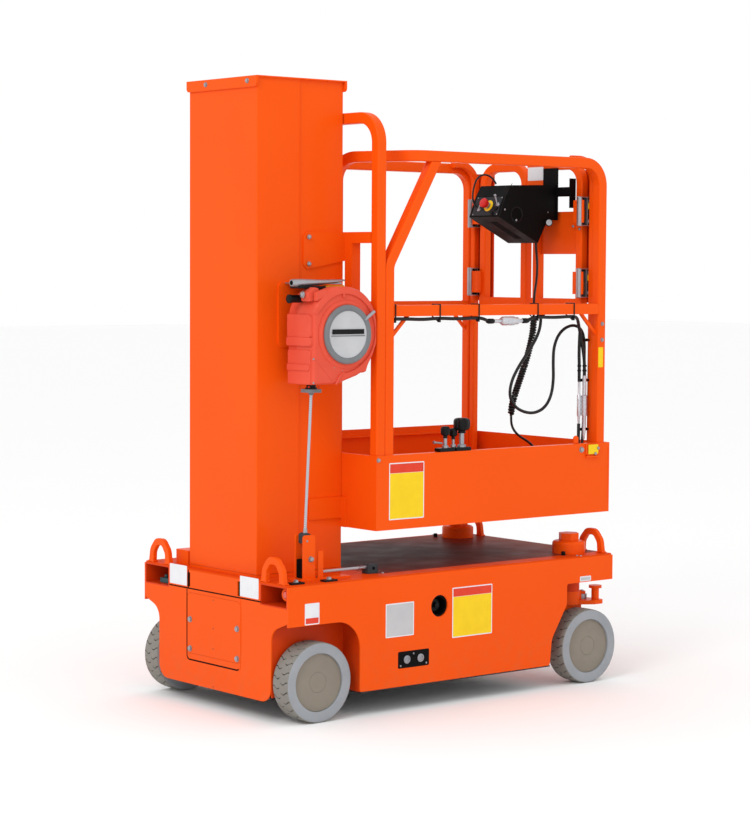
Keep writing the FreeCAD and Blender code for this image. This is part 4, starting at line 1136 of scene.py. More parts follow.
@dataclass
class Chassis:
    """Bolts, plates, lamps and small fittings on the chassis."""

    side_y: float = -390.0
    front_x: float = -697.0
    deck_z: float = 432.0
    pad_spots: tuple[Flat, ...] = ((-648, -365), (-526, -372))
    lug_y: float = 308.0
    lug_gauge: float = 16.0
    lug_rear_x: float = 654.0
    lamp_z: float = 402.0
    joint_depth: float = 0.5

    def dress_solids(self) -> None:
        """Gives the chassis solids their finishes."""
        dress(DECK, "deck_plate")
        dress(ORANGE, "side_skirts", "front_plate", "access_panel", "kingpin_caps",
              "lifting_lugs", "cord_anchor", "deck_box", "knuckle_near", "knuckle_far")
        # The fork pockets, inner walls and rear beam take the darker orange: painted shade.
        dress(SHADED_ORANGE, "fork_pockets", "chassis_walls", "rear_axle_beam")
        dress(CASE, "battery_block", "floor_pan")
        dress(BLACK, "side_fittings")
        dress(ZINC, "front_stubs", "tie_rod")
        dress(DARK_GREY, "cord_blocks")
        dress(CORD_STEEL, "reel_cord", "deck_cord")
        dress(ALLOY, "mast_column", "stage_1", "stage_2", "stage_3")

    def fasteners(self) -> None:
        """Bolts on the front panel, the deck and the caps."""
        shape = Shape()
        for y in (-128, 128):
            for z in (176, 270):
                shape.bolt((self.front_x, y, z), Axis.FRONT, 8.5, 4.5, 10)
        shape.button_screw((-571, -320, 554), Axis.NEAR, 3.5)
        for x, y in self.pad_spots:
            shape.bolt((x, y, self.deck_z + 6), Axis.Z, 8, 6, 9)
        for side in (-1, 1):
            for x, y in ((536, 367), (540, 381)):
                shape.button_screw((x, side * y, self.deck_z), Axis.Z, 4.5)
            shape.bolt((639, side * 286, 295.3), Axis.Z, 8, 4, 0)
        shape.bolt((-557, -320, 497), Axis.NEAR, 8, 7, 9)
        shape.bolt((-518, -310, 437), Axis.Z, 7, 6, 8)
        shape.place("chassis_bolts", "chassis", [ZINC])
        dark = Shape()
        for x, y in self.pad_spots:
            dark.block((x - 24, y - 13, self.deck_z), (x + 24, y + 13, self.deck_z + 6))
        for side in (-1, 1):
            dark.bolt((508, side * 330, self.deck_z), Axis.Z, 8, 11, 10)
        dark.place("deck_pads", "chassis", [MOULDED], bevel=2.0)

    def pinholes(self) -> None:
        """Small plugged holes on the front panels."""
        shape = Shape()
        for z in (345, 255, 190, 70):
            shape.lathe([(2.2, 0), (1.6, 0.4)], (self.front_x, 1, z), Axis.FRONT, 14)
        shape.place("front_plugs", "chassis", [GROOVE])

    def lamps(self) -> None:
        """A round lamp in the near pocket and a small valve in the far one."""
        shape = Shape()
        shape.lathe([(12, -14), (12, 0), (10, 4), (5, 6)], (-686, -366, self.lamp_z), Axis.FRONT,
                    28)
        shape.tone = 1
        shape.lathe([(20, -22), (20, -3), (17, 0), (12.4, 0), (12.4, -6)],
                    (-686, -361, self.lamp_z), Axis.FRONT, 32)
        shape.place("pocket_lamp", "chassis", [LAMP, ORANGE])
        valve = Shape()
        valve.block((-672, 290, 364), (-636, 338, 380))
        valve.rod((-654, 300, 380), (-654, 300, 392), 8)
        valve.rod((-654, 326, 380), (-654, 326, 390), 6)
        valve.place("pocket_valve", "chassis", [TEAL], bevel=2.0)

    def labels(self) -> None:
        """Blank labels on the sides and the front."""
        out = (1, 0, 0)
        up = (0, 0, 1)
        y = self.side_y
        BlankLabel("side_label_white", "chassis", (-314, y, 237), out, up, 115, 107,
                   field=DISC, border=WHITE).build()
        BlankLabel("side_label_yellow", "chassis", (-38, y, 211), out, up, 171, 162,
                   field=YELLOW, band=RED).build()
        BlankLabel("corner_label", "chassis", (-633, y, 307), out, up, 56, 66,
                   band=RED, band_low=True, band_share=0.26).build()
        BlankLabel("tail_label", "chassis", (529, y, 347), out, up, 51, 17, field=DISC).build()
        for name, start in (("far", 243), ("near", -143)):
            BlankLabel("front_label_" + name, "chassis", (self.front_x, start, 375), (0, -1, 0),
                       up, 97, 64, margin=1.5).build()

    def lugs(self) -> None:
        """The four lifting lugs: arches with round shoulders and small welds at their feet."""
        shape = Shape()
        outer = rounded([(-60, 0, 0), (-52, 46, 38), (-22, 80, 30), (22, 80, 30), (52, 46, 38),
                         (60, 0, 0)])
        inner = rounded([(34, 0, 0), (32, 34, 26), (14, 58, 16), (-14, 58, 16), (-32, 34, 26),
                         (-34, 0, 0)])
        arch = [(across, self.deck_z + up) for across, up in outer + inner]
        rows = [(x, side) for x in (self.front_x + 1, self.lug_rear_x) for side in (-1, 1)]
        for x, side in rows:
            shape.prism([(side * self.lug_y + across, up) for across, up in arch], Axis.X, x,
                        x + self.lug_gauge)
        piece = shape.place("lug_arches", "chassis", [ORANGE], bevel=2.6)
        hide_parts("lifting_lugs")
        welds = Shape()
        for x, side in rows:
            for reach in (-60, -34, 34, 60):
                foot = side * self.lug_y + reach
                welds.pipe([Vector((x - 1, foot, self.deck_z + 2)),
                            Vector((x + self.lug_gauge + 1, foot, self.deck_z + 2))], 3.2, 8)
        welds.place("lug_welds", "chassis", [ORANGE])

    def panel_gaps(self) -> None:
        """The open joints of the front panels, the access panel's edge and the mast's collar."""
        shape = Shape()
        front = self.front_x - 0.4
        joint = front + self.joint_depth
        panel = [(148, 366), (148, 152), (144, 142), (134, 138), (-128, 138), (-138, 142)]
        panel_in = [(-136, 146), (-127, 142.6), (133, 142.6), (139, 145), (143.6, 152),
                    (143.6, 366)]
        shape.prism(panel + panel_in, Axis.X, front, joint)
        shape.prism([(246, 371), (-252, 371), (-252, 367), (246, 367)], Axis.X, front, joint)
        shape.prism([(141, 371), (136, 371), (136, 428), (141, 428)], Axis.X, front, joint)
        shape.place("front_joints", "chassis", [VOID])
        edge = Shape()
        edge.pipe([Vector((front, -146, 366)), Vector((front, -146, 152)),
                   Vector((front, -142, 142)), Vector((front, -136, 140))], 1.1, 6)
        edge.place("access_edge", "chassis", [ORANGE])
        collar = Shape()
        for low, high in (((-662, -181), (-326, -178)), ((-662, 178), (-326, 181)),
                          ((-662, -178), (-659, 178)), ((-329, -178), (-326, 178))):
            collar.block((*low, self.deck_z), (*high, self.deck_z + 8))
        collar.place("mast_foot_collar", "chassis", [ORANGE])

    def side_fittings(self) -> None:
        """Socket rims on the black plate and the button in the round hole."""
        shape = Shape()
        for x in (-227, -171):
            shape.lathe([(13, 0), (13, 2.5), (11, 3.5), (9, 3.5), (8, 1.2), (2, 1.2)],
                        (x, self.side_y, 161.5), Axis.NEAR, 30)
            shape.block((x - 5, self.side_y - 2.4, 160.2), (x + 5, self.side_y - 1.2, 162.8))
        for x in (-252, -199, -146):
            shape.button_screw((x, self.side_y, 143 if x != -199 else 178), Axis.NEAR, 3.2)
        shape.place("socket_rims", "chassis", [ZINC])
        plug = Shape()
        plug.lathe([(24, 0), (24, 10), (19, 15), (9, 15), (9, 26), (4, 28)],
                   (-92, -352, 320), Axis.NEAR, 32)
        plug.place("port_button", "chassis", [MOULDED])

    def build(self) -> None:
        """Makes all the chassis dressing."""
        self.dress_solids()
        self.fasteners()
        self.pinholes()
        self.lamps()
        self.labels()
        self.lugs()
        self.panel_gaps()
        self.side_fittings()


@dataclass
class CordAnchor:
    """The dark grip, spring and ferrules where the reel's cord meets the deck."""

    cord_y: float = -298.0
    line_z: float = 452.0
    deck_z: float = 432.0
    half_width: float = 16.0

    def build(self) -> None:
        """Makes the anchor's small parts."""
        spring = Shape()
        spring.coil((-566, self.cord_y, 505), 6, 28, 6, 14, 1.5)
        spring.place("anchor_spring", "chassis", [BRASS])
        bright = Shape()
        for start, end, radius, tip in ((-352, -320, 6.0, 7.2), (-508, -494, 7.4, 6.0)):
            bright.rod((start, self.cord_y, self.line_z), (end, self.cord_y, self.line_z), radius,
                       tip)
        bright.rod((-562.6, self.cord_y, 574), (-561.8, self.cord_y, 592), 7.4, 6.0)
        bright.place("cord_ferrules", "chassis", [ZINC])
        dark = Shape()
        near, far = self.cord_y - self.half_width, self.cord_y + self.half_width
        grip = rounded([(-576, 545, 3), (-550, 545, 3), (-550, 572, 8), (-560, 578, 8),
                        (-576, 578, 10)])
        dark.prism(grip, Axis.Y, near, far)
        block = rounded([(-324, self.deck_z, 1), (-284, self.deck_z, 1), (-284, 462, 7),
                         (-318, 462, 6), (-324, 456, 3)])
        dark.prism(block, Axis.Y, near, far)
        piece = dark.place("cord_grips", "chassis", [DARK_GREY], bevel=2.4)
        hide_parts("cord_blocks")
        # A dark disc and a dark block below the spring: painted shade in the hole and under the
        # grip.
        hole = Shape()
        hole.lathe([(5, 0), (5, 0.4)], (-302, near, 449), Axis.NEAR, 20)
        hole.block((-583, self.cord_y - 15, 440), (-543, self.cord_y + 15, 496))
        hole.place("grip_hole", "chassis", [VOID])
        bolt = Shape()
        bolt.button_screw((-272, -322, self.deck_z), Axis.Z, 5)
        bolt.place("deck_screw", "chassis", [ZINC])


# ---------------------------------------------------------------- mast


@dataclass
class Mast:
    """The mast case with its seam, its cap's tab and the bolts of its plates."""

    half_width: float = 182.0
    plate_y: float = 188.0
    seam_x: float = -500.0
    seam_width: float = 3.5
    low_z: float = 441.0
    high_z: float = 1976.0

    def build(self) -> None:
        """Dresses the mast."""
        dress(ORANGE, "mast_case_front", "mast_case_rear", "mast_cap", "case_plates")
        for side in (-1, 1):
            seam = Shape()
            y = side * self.half_width
            front, rear = self.seam_x - self.seam_width, self.seam_x
            seam.prism([(front, y), (rear, y), (rear, y + side * 0.5), (front, y + side * 0.5)],
                       Axis.Z, self.low_z, self.high_z - 8)
            seam.place("seam_edge_" + ("near" if side < 0 else "far"), "carriage", [ORANGE])
        bolts = Shape()
        for y in (-139, 82):
            bolts.bolt((-670, y, 1965), Axis.FRONT, 6.5, 4, 8)
        for side in (-1, 1):
            for z in (1405, 1489):
                bolts.bolt((-466, side * self.plate_y, z), (0, side, 0), 6.5, 4, 7.5)
        bolts.place("mast_bolts", "carriage", [ZINC])
        tab = Shape()
        tab.block((-672, -189, 1948), (-669, -172, 1980))
        tab.block((-676, -193, 1954), (-670, -187, 1974))
        tab.place("cap_tab", "carriage", [ORANGE], bevel=1.5)


# ---------------------------------------------------------------- reel


@dataclass
class CordReel:
    """The round cord reel: moulded housing with pads and rims, ring, blank disc and fittings."""

    centre_x: float = -450.0
    centre_z: float = 1189.0
    face_y: float = -352.0
    back_y: float = -222.0
    left: float = -575.0
    right: float = -325.0
    disc_y: float = -364.0
    rim_start: float = 152.0
    rim_sweep: float = 252.0
    rim_steps: int = 72
    hanger_end: Point = (-620.0, -300.0, 1347.0)
    groove: tuple[Flat, ...] = ((-110, 119), (-93, 117), (-58, 109), (-21, 112), (35, 117),
                                (97, 123), (160, 122))

    def outline(self, inset: float) -> list[Flat]:
        """The housing's outline, drawn in towards its centre.

        Args:
            inset: How far it is drawn in.

        Returns:
            The outline's points.
        """
        low, top = self.centre_z - 154, self.centre_z + 147
        corners = rounded([(self.left, low, 8), (-485, low, 6), (-464, 1042, 12), (-404, 1060, 6),
                           (-384, 1070, 3), (-368, 1068, 6), (-359, 1092, 8), (-340, 1122, 20),
                           (self.right, 1160, 30), (self.right, top, 120),
                           (self.left, top, 100)], 9)
        centre = Vector((self.centre_x, self.centre_z))
        drawn = []
        for corner in corners:
            away = Vector(corner[:2]) - centre
            drawn.append(tuple(centre + away * (1 - inset / away.length)))
        return drawn

    def groove_at(self, angle: float) -> float:
        """How far the groove in the near face lies from the centre.

        Args:
            angle: The direction in degrees, from +X towards +Z.

        Returns:
            The distance.
        """
        for (start, near), (end, far) in zip(self.groove, self.groove[1:]):
            if start <= angle <= end:
                return near + (far - near) * (angle - start) / (end - start)
        return self.groove[-1][1]

    def reach(self, angle: float, inset: float) -> float:
        """How far the outline lies from the centre in a direction.

        Args:
            angle: The direction in radians, from +X towards +Z.
            inset: How far the outline is drawn in.

        Returns:
            The distance.
        """
        away = Vector((math.cos(angle), math.sin(angle)))
        centre = Vector((self.centre_x, self.centre_z))
        outline = [Vector(point) - centre for point in self.outline(inset)]
        best = 0.0
        for start, end in zip(outline, outline[1:] + outline[:1]):
            run = end - start
            cross = away.x * run.y - away.y * run.x
            if abs(cross) < 1e-9:
                continue
            distance = (start.x * run.y - start.y * run.x) / cross
            share = (start.x * away.y - start.y * away.x) / cross
            if distance > 0 and -1e-6 <= share <= 1 + 1e-6:
                best = max(best, distance)
        return best

    def shell(self) -> None:
        """The housing with eased shoulders and the parting line round its middle."""
        shape = Shape()
        stations = [(self.back_y, 6), (-226, 1.5), (-231, 0), (-268, 0), (-270, -1.2),
                    (-273, -1.2), (-275, 0), (-330, 0), (-338, 1.2), (-346, 4), (-350, 7),
                    (self.face_y, 11)]
        rings = []
        for y, inset in stations:
            rings.append([Vector((x, y, z)) for x, z in self.outline(inset)])
        shape.skin(rings)
        shape.lathe([(62, 0), (62, 34)], (self.centre_x, self.back_y - 1, self.centre_z), Axis.Y,
                    48)
        shape.lathe([(106, -2), (105, 2), (102, 4), (98, 5), (96, 7), (60, 7)],
                    (self.centre_x, self.face_y, self.centre_z), Axis.NEAR, 96)
        piece = shape.place("reel_shell", "carriage", [CORAL], keeps=30)
        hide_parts("reel_housing")

    def rim(self) -> None:
        """The raised rim outside the groove, from the upper left round to the foot."""
        shape = Shape()
        rings = []
        count = self.rim_steps
        for step in range(count + 1):
            degrees = self.rim_start - self.rim_sweep * step / count
            angle = math.radians(degrees)
            away = Vector((math.cos(angle), 0, math.sin(angle)))
            middle = Vector((self.centre_x, 0, self.centre_z))
            inner = self.groove_at(degrees)
            outer = max(self.reach(angle, 0), inner + 9)
            ease = min(1.0, step / 3, (count - step) / 3)
            ring = []
            for distance, rise in ((inner + 1.6, -1), (inner + 2.2, 3.6), (inner + 4, 4.8),
                                   (outer - 6, 3.4), (outer - 1.5, -2), (outer + 0.4, -12)):
                spot = middle + away * distance
                spot.y = self.face_y - rise * ease
                ring.append(spot)
            rings.append(ring)
        shape.skin(rings)
        foot = [Vector((-456, -353, 1071)), Vector((-466, -353, 1066)),
                Vector((-475, -353, 1056)), Vector((-481, -353, 1044)),
                Vector((-486, -351, 1036))]
        shape.pipe(foot, 3.6, 10)
        shape.block((self.centre_x - 13, -357, 1303), (self.centre_x - 6, -350, 1316))
        shape.place("reel_rim", "carriage", [CORAL], keeps=30)

    def arc(self, shape: Shape, radius: float, start: float, end: float, y: float,
            wire: float) -> None:
        """A raised ridge along an arc about the reel's centre.

        Args:
            shape: The mesh.
            radius: Radius of the arc.
            start: Start angle in degrees.
            end: End angle in degrees.
            y: Where its middle lies.
            wire: Radius of the ridge.
        """
        steps = 40
        points = []
        for step in range(steps + 1):
            angle = math.radians(start + (end - start) * step / steps)
            points.append(Vector((self.centre_x + radius * math.cos(angle), y,
                                  self.centre_z + radius * math.sin(angle))))
        shape.pipe(points, wire, 10)

    def pads(self) -> None:
        """The cushions and bands on the narrow front side, and the ear on top."""
        shape = Shape()
        for low, high, proud, near in ((1180, 1251, 6, -344), (1154, 1181, 9, -347),
                                       (1036, 1142, 3, -340), (1078, 1098, 7, -338)):
            corners = rounded([(near, low, 9), (near, high, 14 if high > 1200 else 5),
                               (-226, high, 5), (-226, low, 5)])
            shape.prism(corners, Axis.X, self.left - proud, self.left + 6)
        ear = rounded([(-578, 1290, 2), (-548, 1296, 2), (-540, 1330, 8), (-562, 1334, 8),
                       (-586, 1316, 8)])
        shape.prism(ear, Axis.Y, -338, -296)
        plateau = rounded([(-566, 1290, 3), (-528, 1310, 4), (-520, 1322, 4), (-534, 1328, 4),
                           (-566, 1318, 4)])
        shape.prism(plateau, Axis.Y, -355, -340)
        shape.place("reel_pads", "carriage", [CORAL], bevel=3.0)
        lines = Shape()
        self.arc(lines, 105, -60, 196, -354, 1.5)
        lines.pipe([Vector((-559, -352, 1155)), Vector((-566, -351, 1148)),
                    Vector((-573, -345, 1143))], 1.6, 8)
        lines.pipe([Vector((-566, -352.2, 1112)), Vector((-500, -352.2, 1044))], 0.8, 6)
        lines.place("reel_lines", "carriage", [CORAL])

    def fittings(self) -> None:
        """The lever, the bolts, the pivot, the ring and the blank face with its dark strip."""
        bright = Shape()
        bright.rod((-386, -366, 1233), (-348, -366, 1259), 5.5)
        bright.rod((-588, -316, 1311), (-540, -316, 1311), 4)
        bright.lathe([(10.5, 0), (10.5, 2), (8, 3), (8, 6), (5, 7.5)], (-587, -314, 1311),
                     Axis.FRONT, 24)
        for x, y, z, radius in ((-571, -349, 1115, 3.5), (-571, -349, 1042, 3.5),
                                (-492, -351.8, 1087, 1.6), (-461, -351.8, 1077, 1.6)):
            bright.button_screw((x, y, z), Axis.NEAR, radius)
        bright.place("reel_bolts", "carriage", [ZINC])
        dark = Shape()
        dark.rod((-616, -282, 1298), (-568, -282, 1298), 12)
        dark.lathe([(14, 0), (14, 7), (9, 10)], (-610, -282, 1298), Axis.FRONT, 20)
        dark.block((-596, -318, 1330), (-500, -262, 1337))
        dark.place("reel_pivot", "carriage", [MOULDED], bevel=1.0)
        yellow = Shape()
        yellow.prism([(-510, 1330), (-424, 1336), (-424, 1340), (-490, 1339)], Axis.Y, -312, -292)
        yellow.place("hanger_wedge", "carriage", [BRASS_YELLOW])
        face = Shape()
        middle = (self.centre_x, self.disc_y, self.centre_z)
        face.lathe([(70, 0), (70, 0.6), (69, 1.0)], middle, Axis.NEAR, 72)
        face.lathe([(72.6, 0), (72.6, 1.6), (71.4, 2.0), (70.4, 1.4)], middle, Axis.NEAR, 72)
        face.place("reel_face", "carriage", [DISC])
        strip = Shape()
        for reach, proud, low, high in ((62, 3.2, 1190, 1205), (66, 2.8, 1184, 1185.4)):
            strip.block((self.centre_x - reach, self.disc_y - proud, low),
                        (self.centre_x + reach, self.disc_y, high))
        strip.place("face_strip", "carriage", [MOULDED])
        ring = Shape()
        ring.lathe([(90, 0), (91.5, 3), (91, 7), (88, 10.5), (82, 12), (76, 10.5), (73, 7),
                    (72, 4)], (self.centre_x, -359, self.centre_z), Axis.NEAR, 96)
        ring.place("reel_ring", "carriage", [RING_GREY])

    def hanger(self) -> None:
        """The bright hanger: round at the front end, flattened to a blade at the mast end."""
        shape = Shape()
        rings = []
        for x, y, z, half, rise in ((*self.hanger_end, 10, 10), (-612, -300, 1347, 12, 12),
                                    (-580, -300, 1347, 12, 12), (-545, -300, 1348, 15, 10),
                                    (-500, -299, 1349, 19, 8), (-450, -298, 1352, 20, 6),
                                    (-420, -297, 1355, 16, 3)):
            ring = []
            for step in range(28):
                angle = math.tau * step / 28
                ring.append(Vector((x, y + half * math.cos(angle), z + rise * math.sin(angle))))
            rings.append(ring)
        shape.skin(rings)
        shape.block((-560, -300, 1343), (-424, -189, 1348))
        piece = shape.place("hanger_arm", "carriage", [ZINC])
        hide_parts("reel_hanger")
        # The bore is a dark disc: painted shade inside the tube end.
        pit = Shape()
        pit.lathe([(7.5, 0), (7.5, 0.5)], self.hanger_end, Axis.FRONT, 24)
        pit.place("hanger_bore", "carriage", [VOID])

    def outlet(self) -> None:
        """The guide under the housing, where the cord comes out."""
        grey = Shape()
        body = rounded([(-565, -322, 6), (-517, -322, 6), (-517, -274, 6), (-565, -274, 6)])
        grey.prism(body, Axis.Z, 1010, 1021)
        band = rounded([(-566, -323, 6), (-516, -323, 6), (-516, -273, 6), (-566, -273, 6)])
        for low in (1010.5, 1017.5):
            grey.prism(band, Axis.Z, low, low + 3)
        grey.lathe([(9, 0), (7, 8)], (-541, -298, 1010), Axis.DOWN, 24)
        piece = grey.place("outlet_block", "carriage", [RING_GREY], bevel=0.8)
        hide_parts("reel_outlet")
        collar = Shape()
        collar.lathe([(19, 0), (19, 4), (15, 5), (15, 12), (18, 13), (18, 15)],
                     (-541, -298, 1021), Axis.Z, 28)
        collar.place("outlet_collar", "carriage", [MOULDED])
        bits = Shape()
        bits.button_screw((-556, -306, 1027), Axis.NEAR, 4)
        bits.button_screw((-526, -316, 1027), Axis.NEAR, 4)
        bits.place("outlet_screws", "carriage", [RED])

    def build(self) -> None:
        """Makes the reel's dressing."""
        dress(RING_GREY, "reel_disc")
        self.shell()
        self.rim()
        self.pads()
        self.hanger()
        self.outlet()
        self.fittings()


# ---------------------------------------------------------------- platform


@dataclass
class StarKnob:
    """A black fluted hand knob on a bright shaft."""

    name: str
    x: float
    y: float
    low: float
    high: float
    radius: float
    shaft: float
    base: float = 819.0
    lobes: int = 8

    def build(self) -> None:
        """Makes the knob."""
        shape = Shape()
        steps = self.lobes * 8
        height = self.high - self.low
        rings = []
        for share, scale in ((0.0, 0.55), (0.06, 0.8), (0.2, 0.97), (0.35, 1.0), (0.72, 1.0),
                             (0.88, 0.93), (0.97, 0.75), (1.0, 0.45)):
            ring = []
            for step in range(steps):
                angle = math.tau * step / steps
                flute = 1 - 0.09 * (0.5 - 0.5 * math.cos(angle * self.lobes)) ** 2
                reach = self.radius * scale * (flute if 0.1 < share < 0.95 else 0.95)
                ring.append(Vector((self.x + reach * math.cos(angle),
                                    self.y + reach * math.sin(angle), self.low + height * share)))
            rings.append(ring)
        shape.skin(rings)
        shape.lathe([(self.radius * 0.5, 0), (self.radius * 0.42, 10)],
                    (self.x, self.y, self.low - 8), Axis.Z, 24)
        shape.place(self.name, "carriage", [MOULDED])
        stem = Shape()
        stem.rod((self.x, self.y, self.base), (self.x, self.y, self.low - 6), self.shaft)
        stem.lathe([(self.shaft * 1.8, 0), (self.shaft * 1.8, 6), (self.shaft * 1.5, 8)],
                   (self.x, self.y, self.base), Axis.Z, 6)
        stem.place(self.name + "_stem", "carriage", [ZINC])


@dataclass
class Platform:
    """The tub and the cage: labels, bolts, welds, ties and hand knobs."""

    side_y: float = -353.0
    rail_y: float = -348.5

    def labels(self) -> None:
        """Blank labels on the tub and tags on the posts."""
        up = (0, 0, 1)
        BlankLabel("tub_label", "carriage", (-273, self.side_y, 602), (1, 0, 0), up, 144, 180,
                   field=YELLOW, band=RED).build()
        BlankLabel("post_tag_near", "carriage", (643, self.rail_y - 0.5, 1062), (1, 0, 0), up,
                   22, 68, border=YELLOW, field=YELLOW, margin=2.0).build()
        BlankLabel("corner_plate", "carriage", (590, self.side_y - 8, 771), (1, 0, 0), up, 46, 32,
                   border=YELLOW, field=YELLOW, margin=2.0).build()

    def corner_bracket(self) -> None:
        """The small folded tab at the near rear corner of the tub."""
        shape = Shape()
        y = self.side_y
        shape.prism([(582, 806), (642, 806), (642, 774), (634, 765), (590, 765), (582, 774)],
                    Axis.Y, y - 5, y)
        shape.prism([(582, 765), (642, 765), (642, 759), (582, 759)], Axis.Y, y - 9, y)
        shape.prism([(539, 807), (560, 807), (560, 828), (553, 834), (546, 834), (539, 828)],
                    Axis.Y, -344, -338)
        shape.place("tub_tabs", "carriage", [ORANGE], bevel=1.2)

    def fasteners(self) -> None:
        """Bolts on the tub, the posts and the bracket."""
        shape = Shape()
        y = self.side_y
        shape.bolt((-317, y, 793), Axis.NEAR, 6, 4, 7)
        shape.bolt((565, y, 787), Axis.NEAR, 8.5, 5, 10)
        for x, z in ((635, 790), (622, 772)):
            shape.bolt((x, y - 8, z), Axis.NEAR, 5.5, 4, 0)
        for x, z in ((660, 1209), (660, 1155)):
            shape.bolt((x, self.rail_y, z), Axis.NEAR, 5.5, 4, 7)
        shape.place("platform_bolts", "carriage", [ZINC])

    def seams(self) -> None:
        """Weld beads where tubes and folded edges meet."""
        shape = Shape()
        for side in (-1, 1):
            for z in (1242, 1277):
                for x in (642, -251):
                    shape.pipe([Vector((x, side * 349, z)), Vector((x, side * 314, z))], 2.0, 8)
            edge = side * 353.5
            shape.pipe([Vector((690, edge, 600)), Vector((690, edge, 790))], 0.9, 6)
        shape.place("weld_beads", "carriage", [ORANGE])

    def ties(self) -> None:
        """Black cable ties round the mid rail."""
        shape = Shape()
        for x in (-248, -64, 102, 362, 527):
            ring = [Vector((x, -350.2, 1279)), Vector((x, -350.2, 1233)), Vector((x, -345, 1227)),
                    Vector((x, -337, 1227)), Vector((x, -312, 1240)), Vector((x, -312, 1279))]
            shape.pipe(ring, 2.4, 8, looped=True)
            shape.block((x - 4, -349, 1222), (x + 4, -341, 1229))
        shape.place("rail_ties", "carriage", [MOULDED])

    def build(self) -> None:
        """Makes the platform's dressing."""
        dress(ORANGE, "platform_tub", "cage_hoop", "cage_uprights", "cage_braces", "side_rails",
              "gate_posts", "mid_rails")
        dress(MOULDED, "tub_knobs")
        self.labels()
        self.corner_bracket()
        self.fasteners()
        self.seams()
        self.ties()
        self.knobs()

    def knobs(self) -> None:
        """The hand knobs on the tub's edge, with their bases and the pin."""
        bases = Shape()
        for start in (-62, 8):
            bases.block((start, -353, 807), (start + 64, -323, 819))
        piece = bases.place("knob_bases", "carriage", [MOULDED], bevel=3.0)
        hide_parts("tub_knobs")
        StarKnob("knob_small", -30, -340, 858, 888, 15, 6).build()
        StarKnob("knob_large", 40, -340, 872, 913, 27, 8).build()
        StarKnob("knob_third", 16, -326, 852, 880, 13, 5).build()
        pin = Shape()
        pin.rod((-72, -336, 838), (-40, -336, 834), 3.2)
        pin.lathe([(5, 0), (5, 4)], (-72, -336, 838), Axis.FRONT, 18)
        pin.place("knob_pin", "carriage", [ZINC])


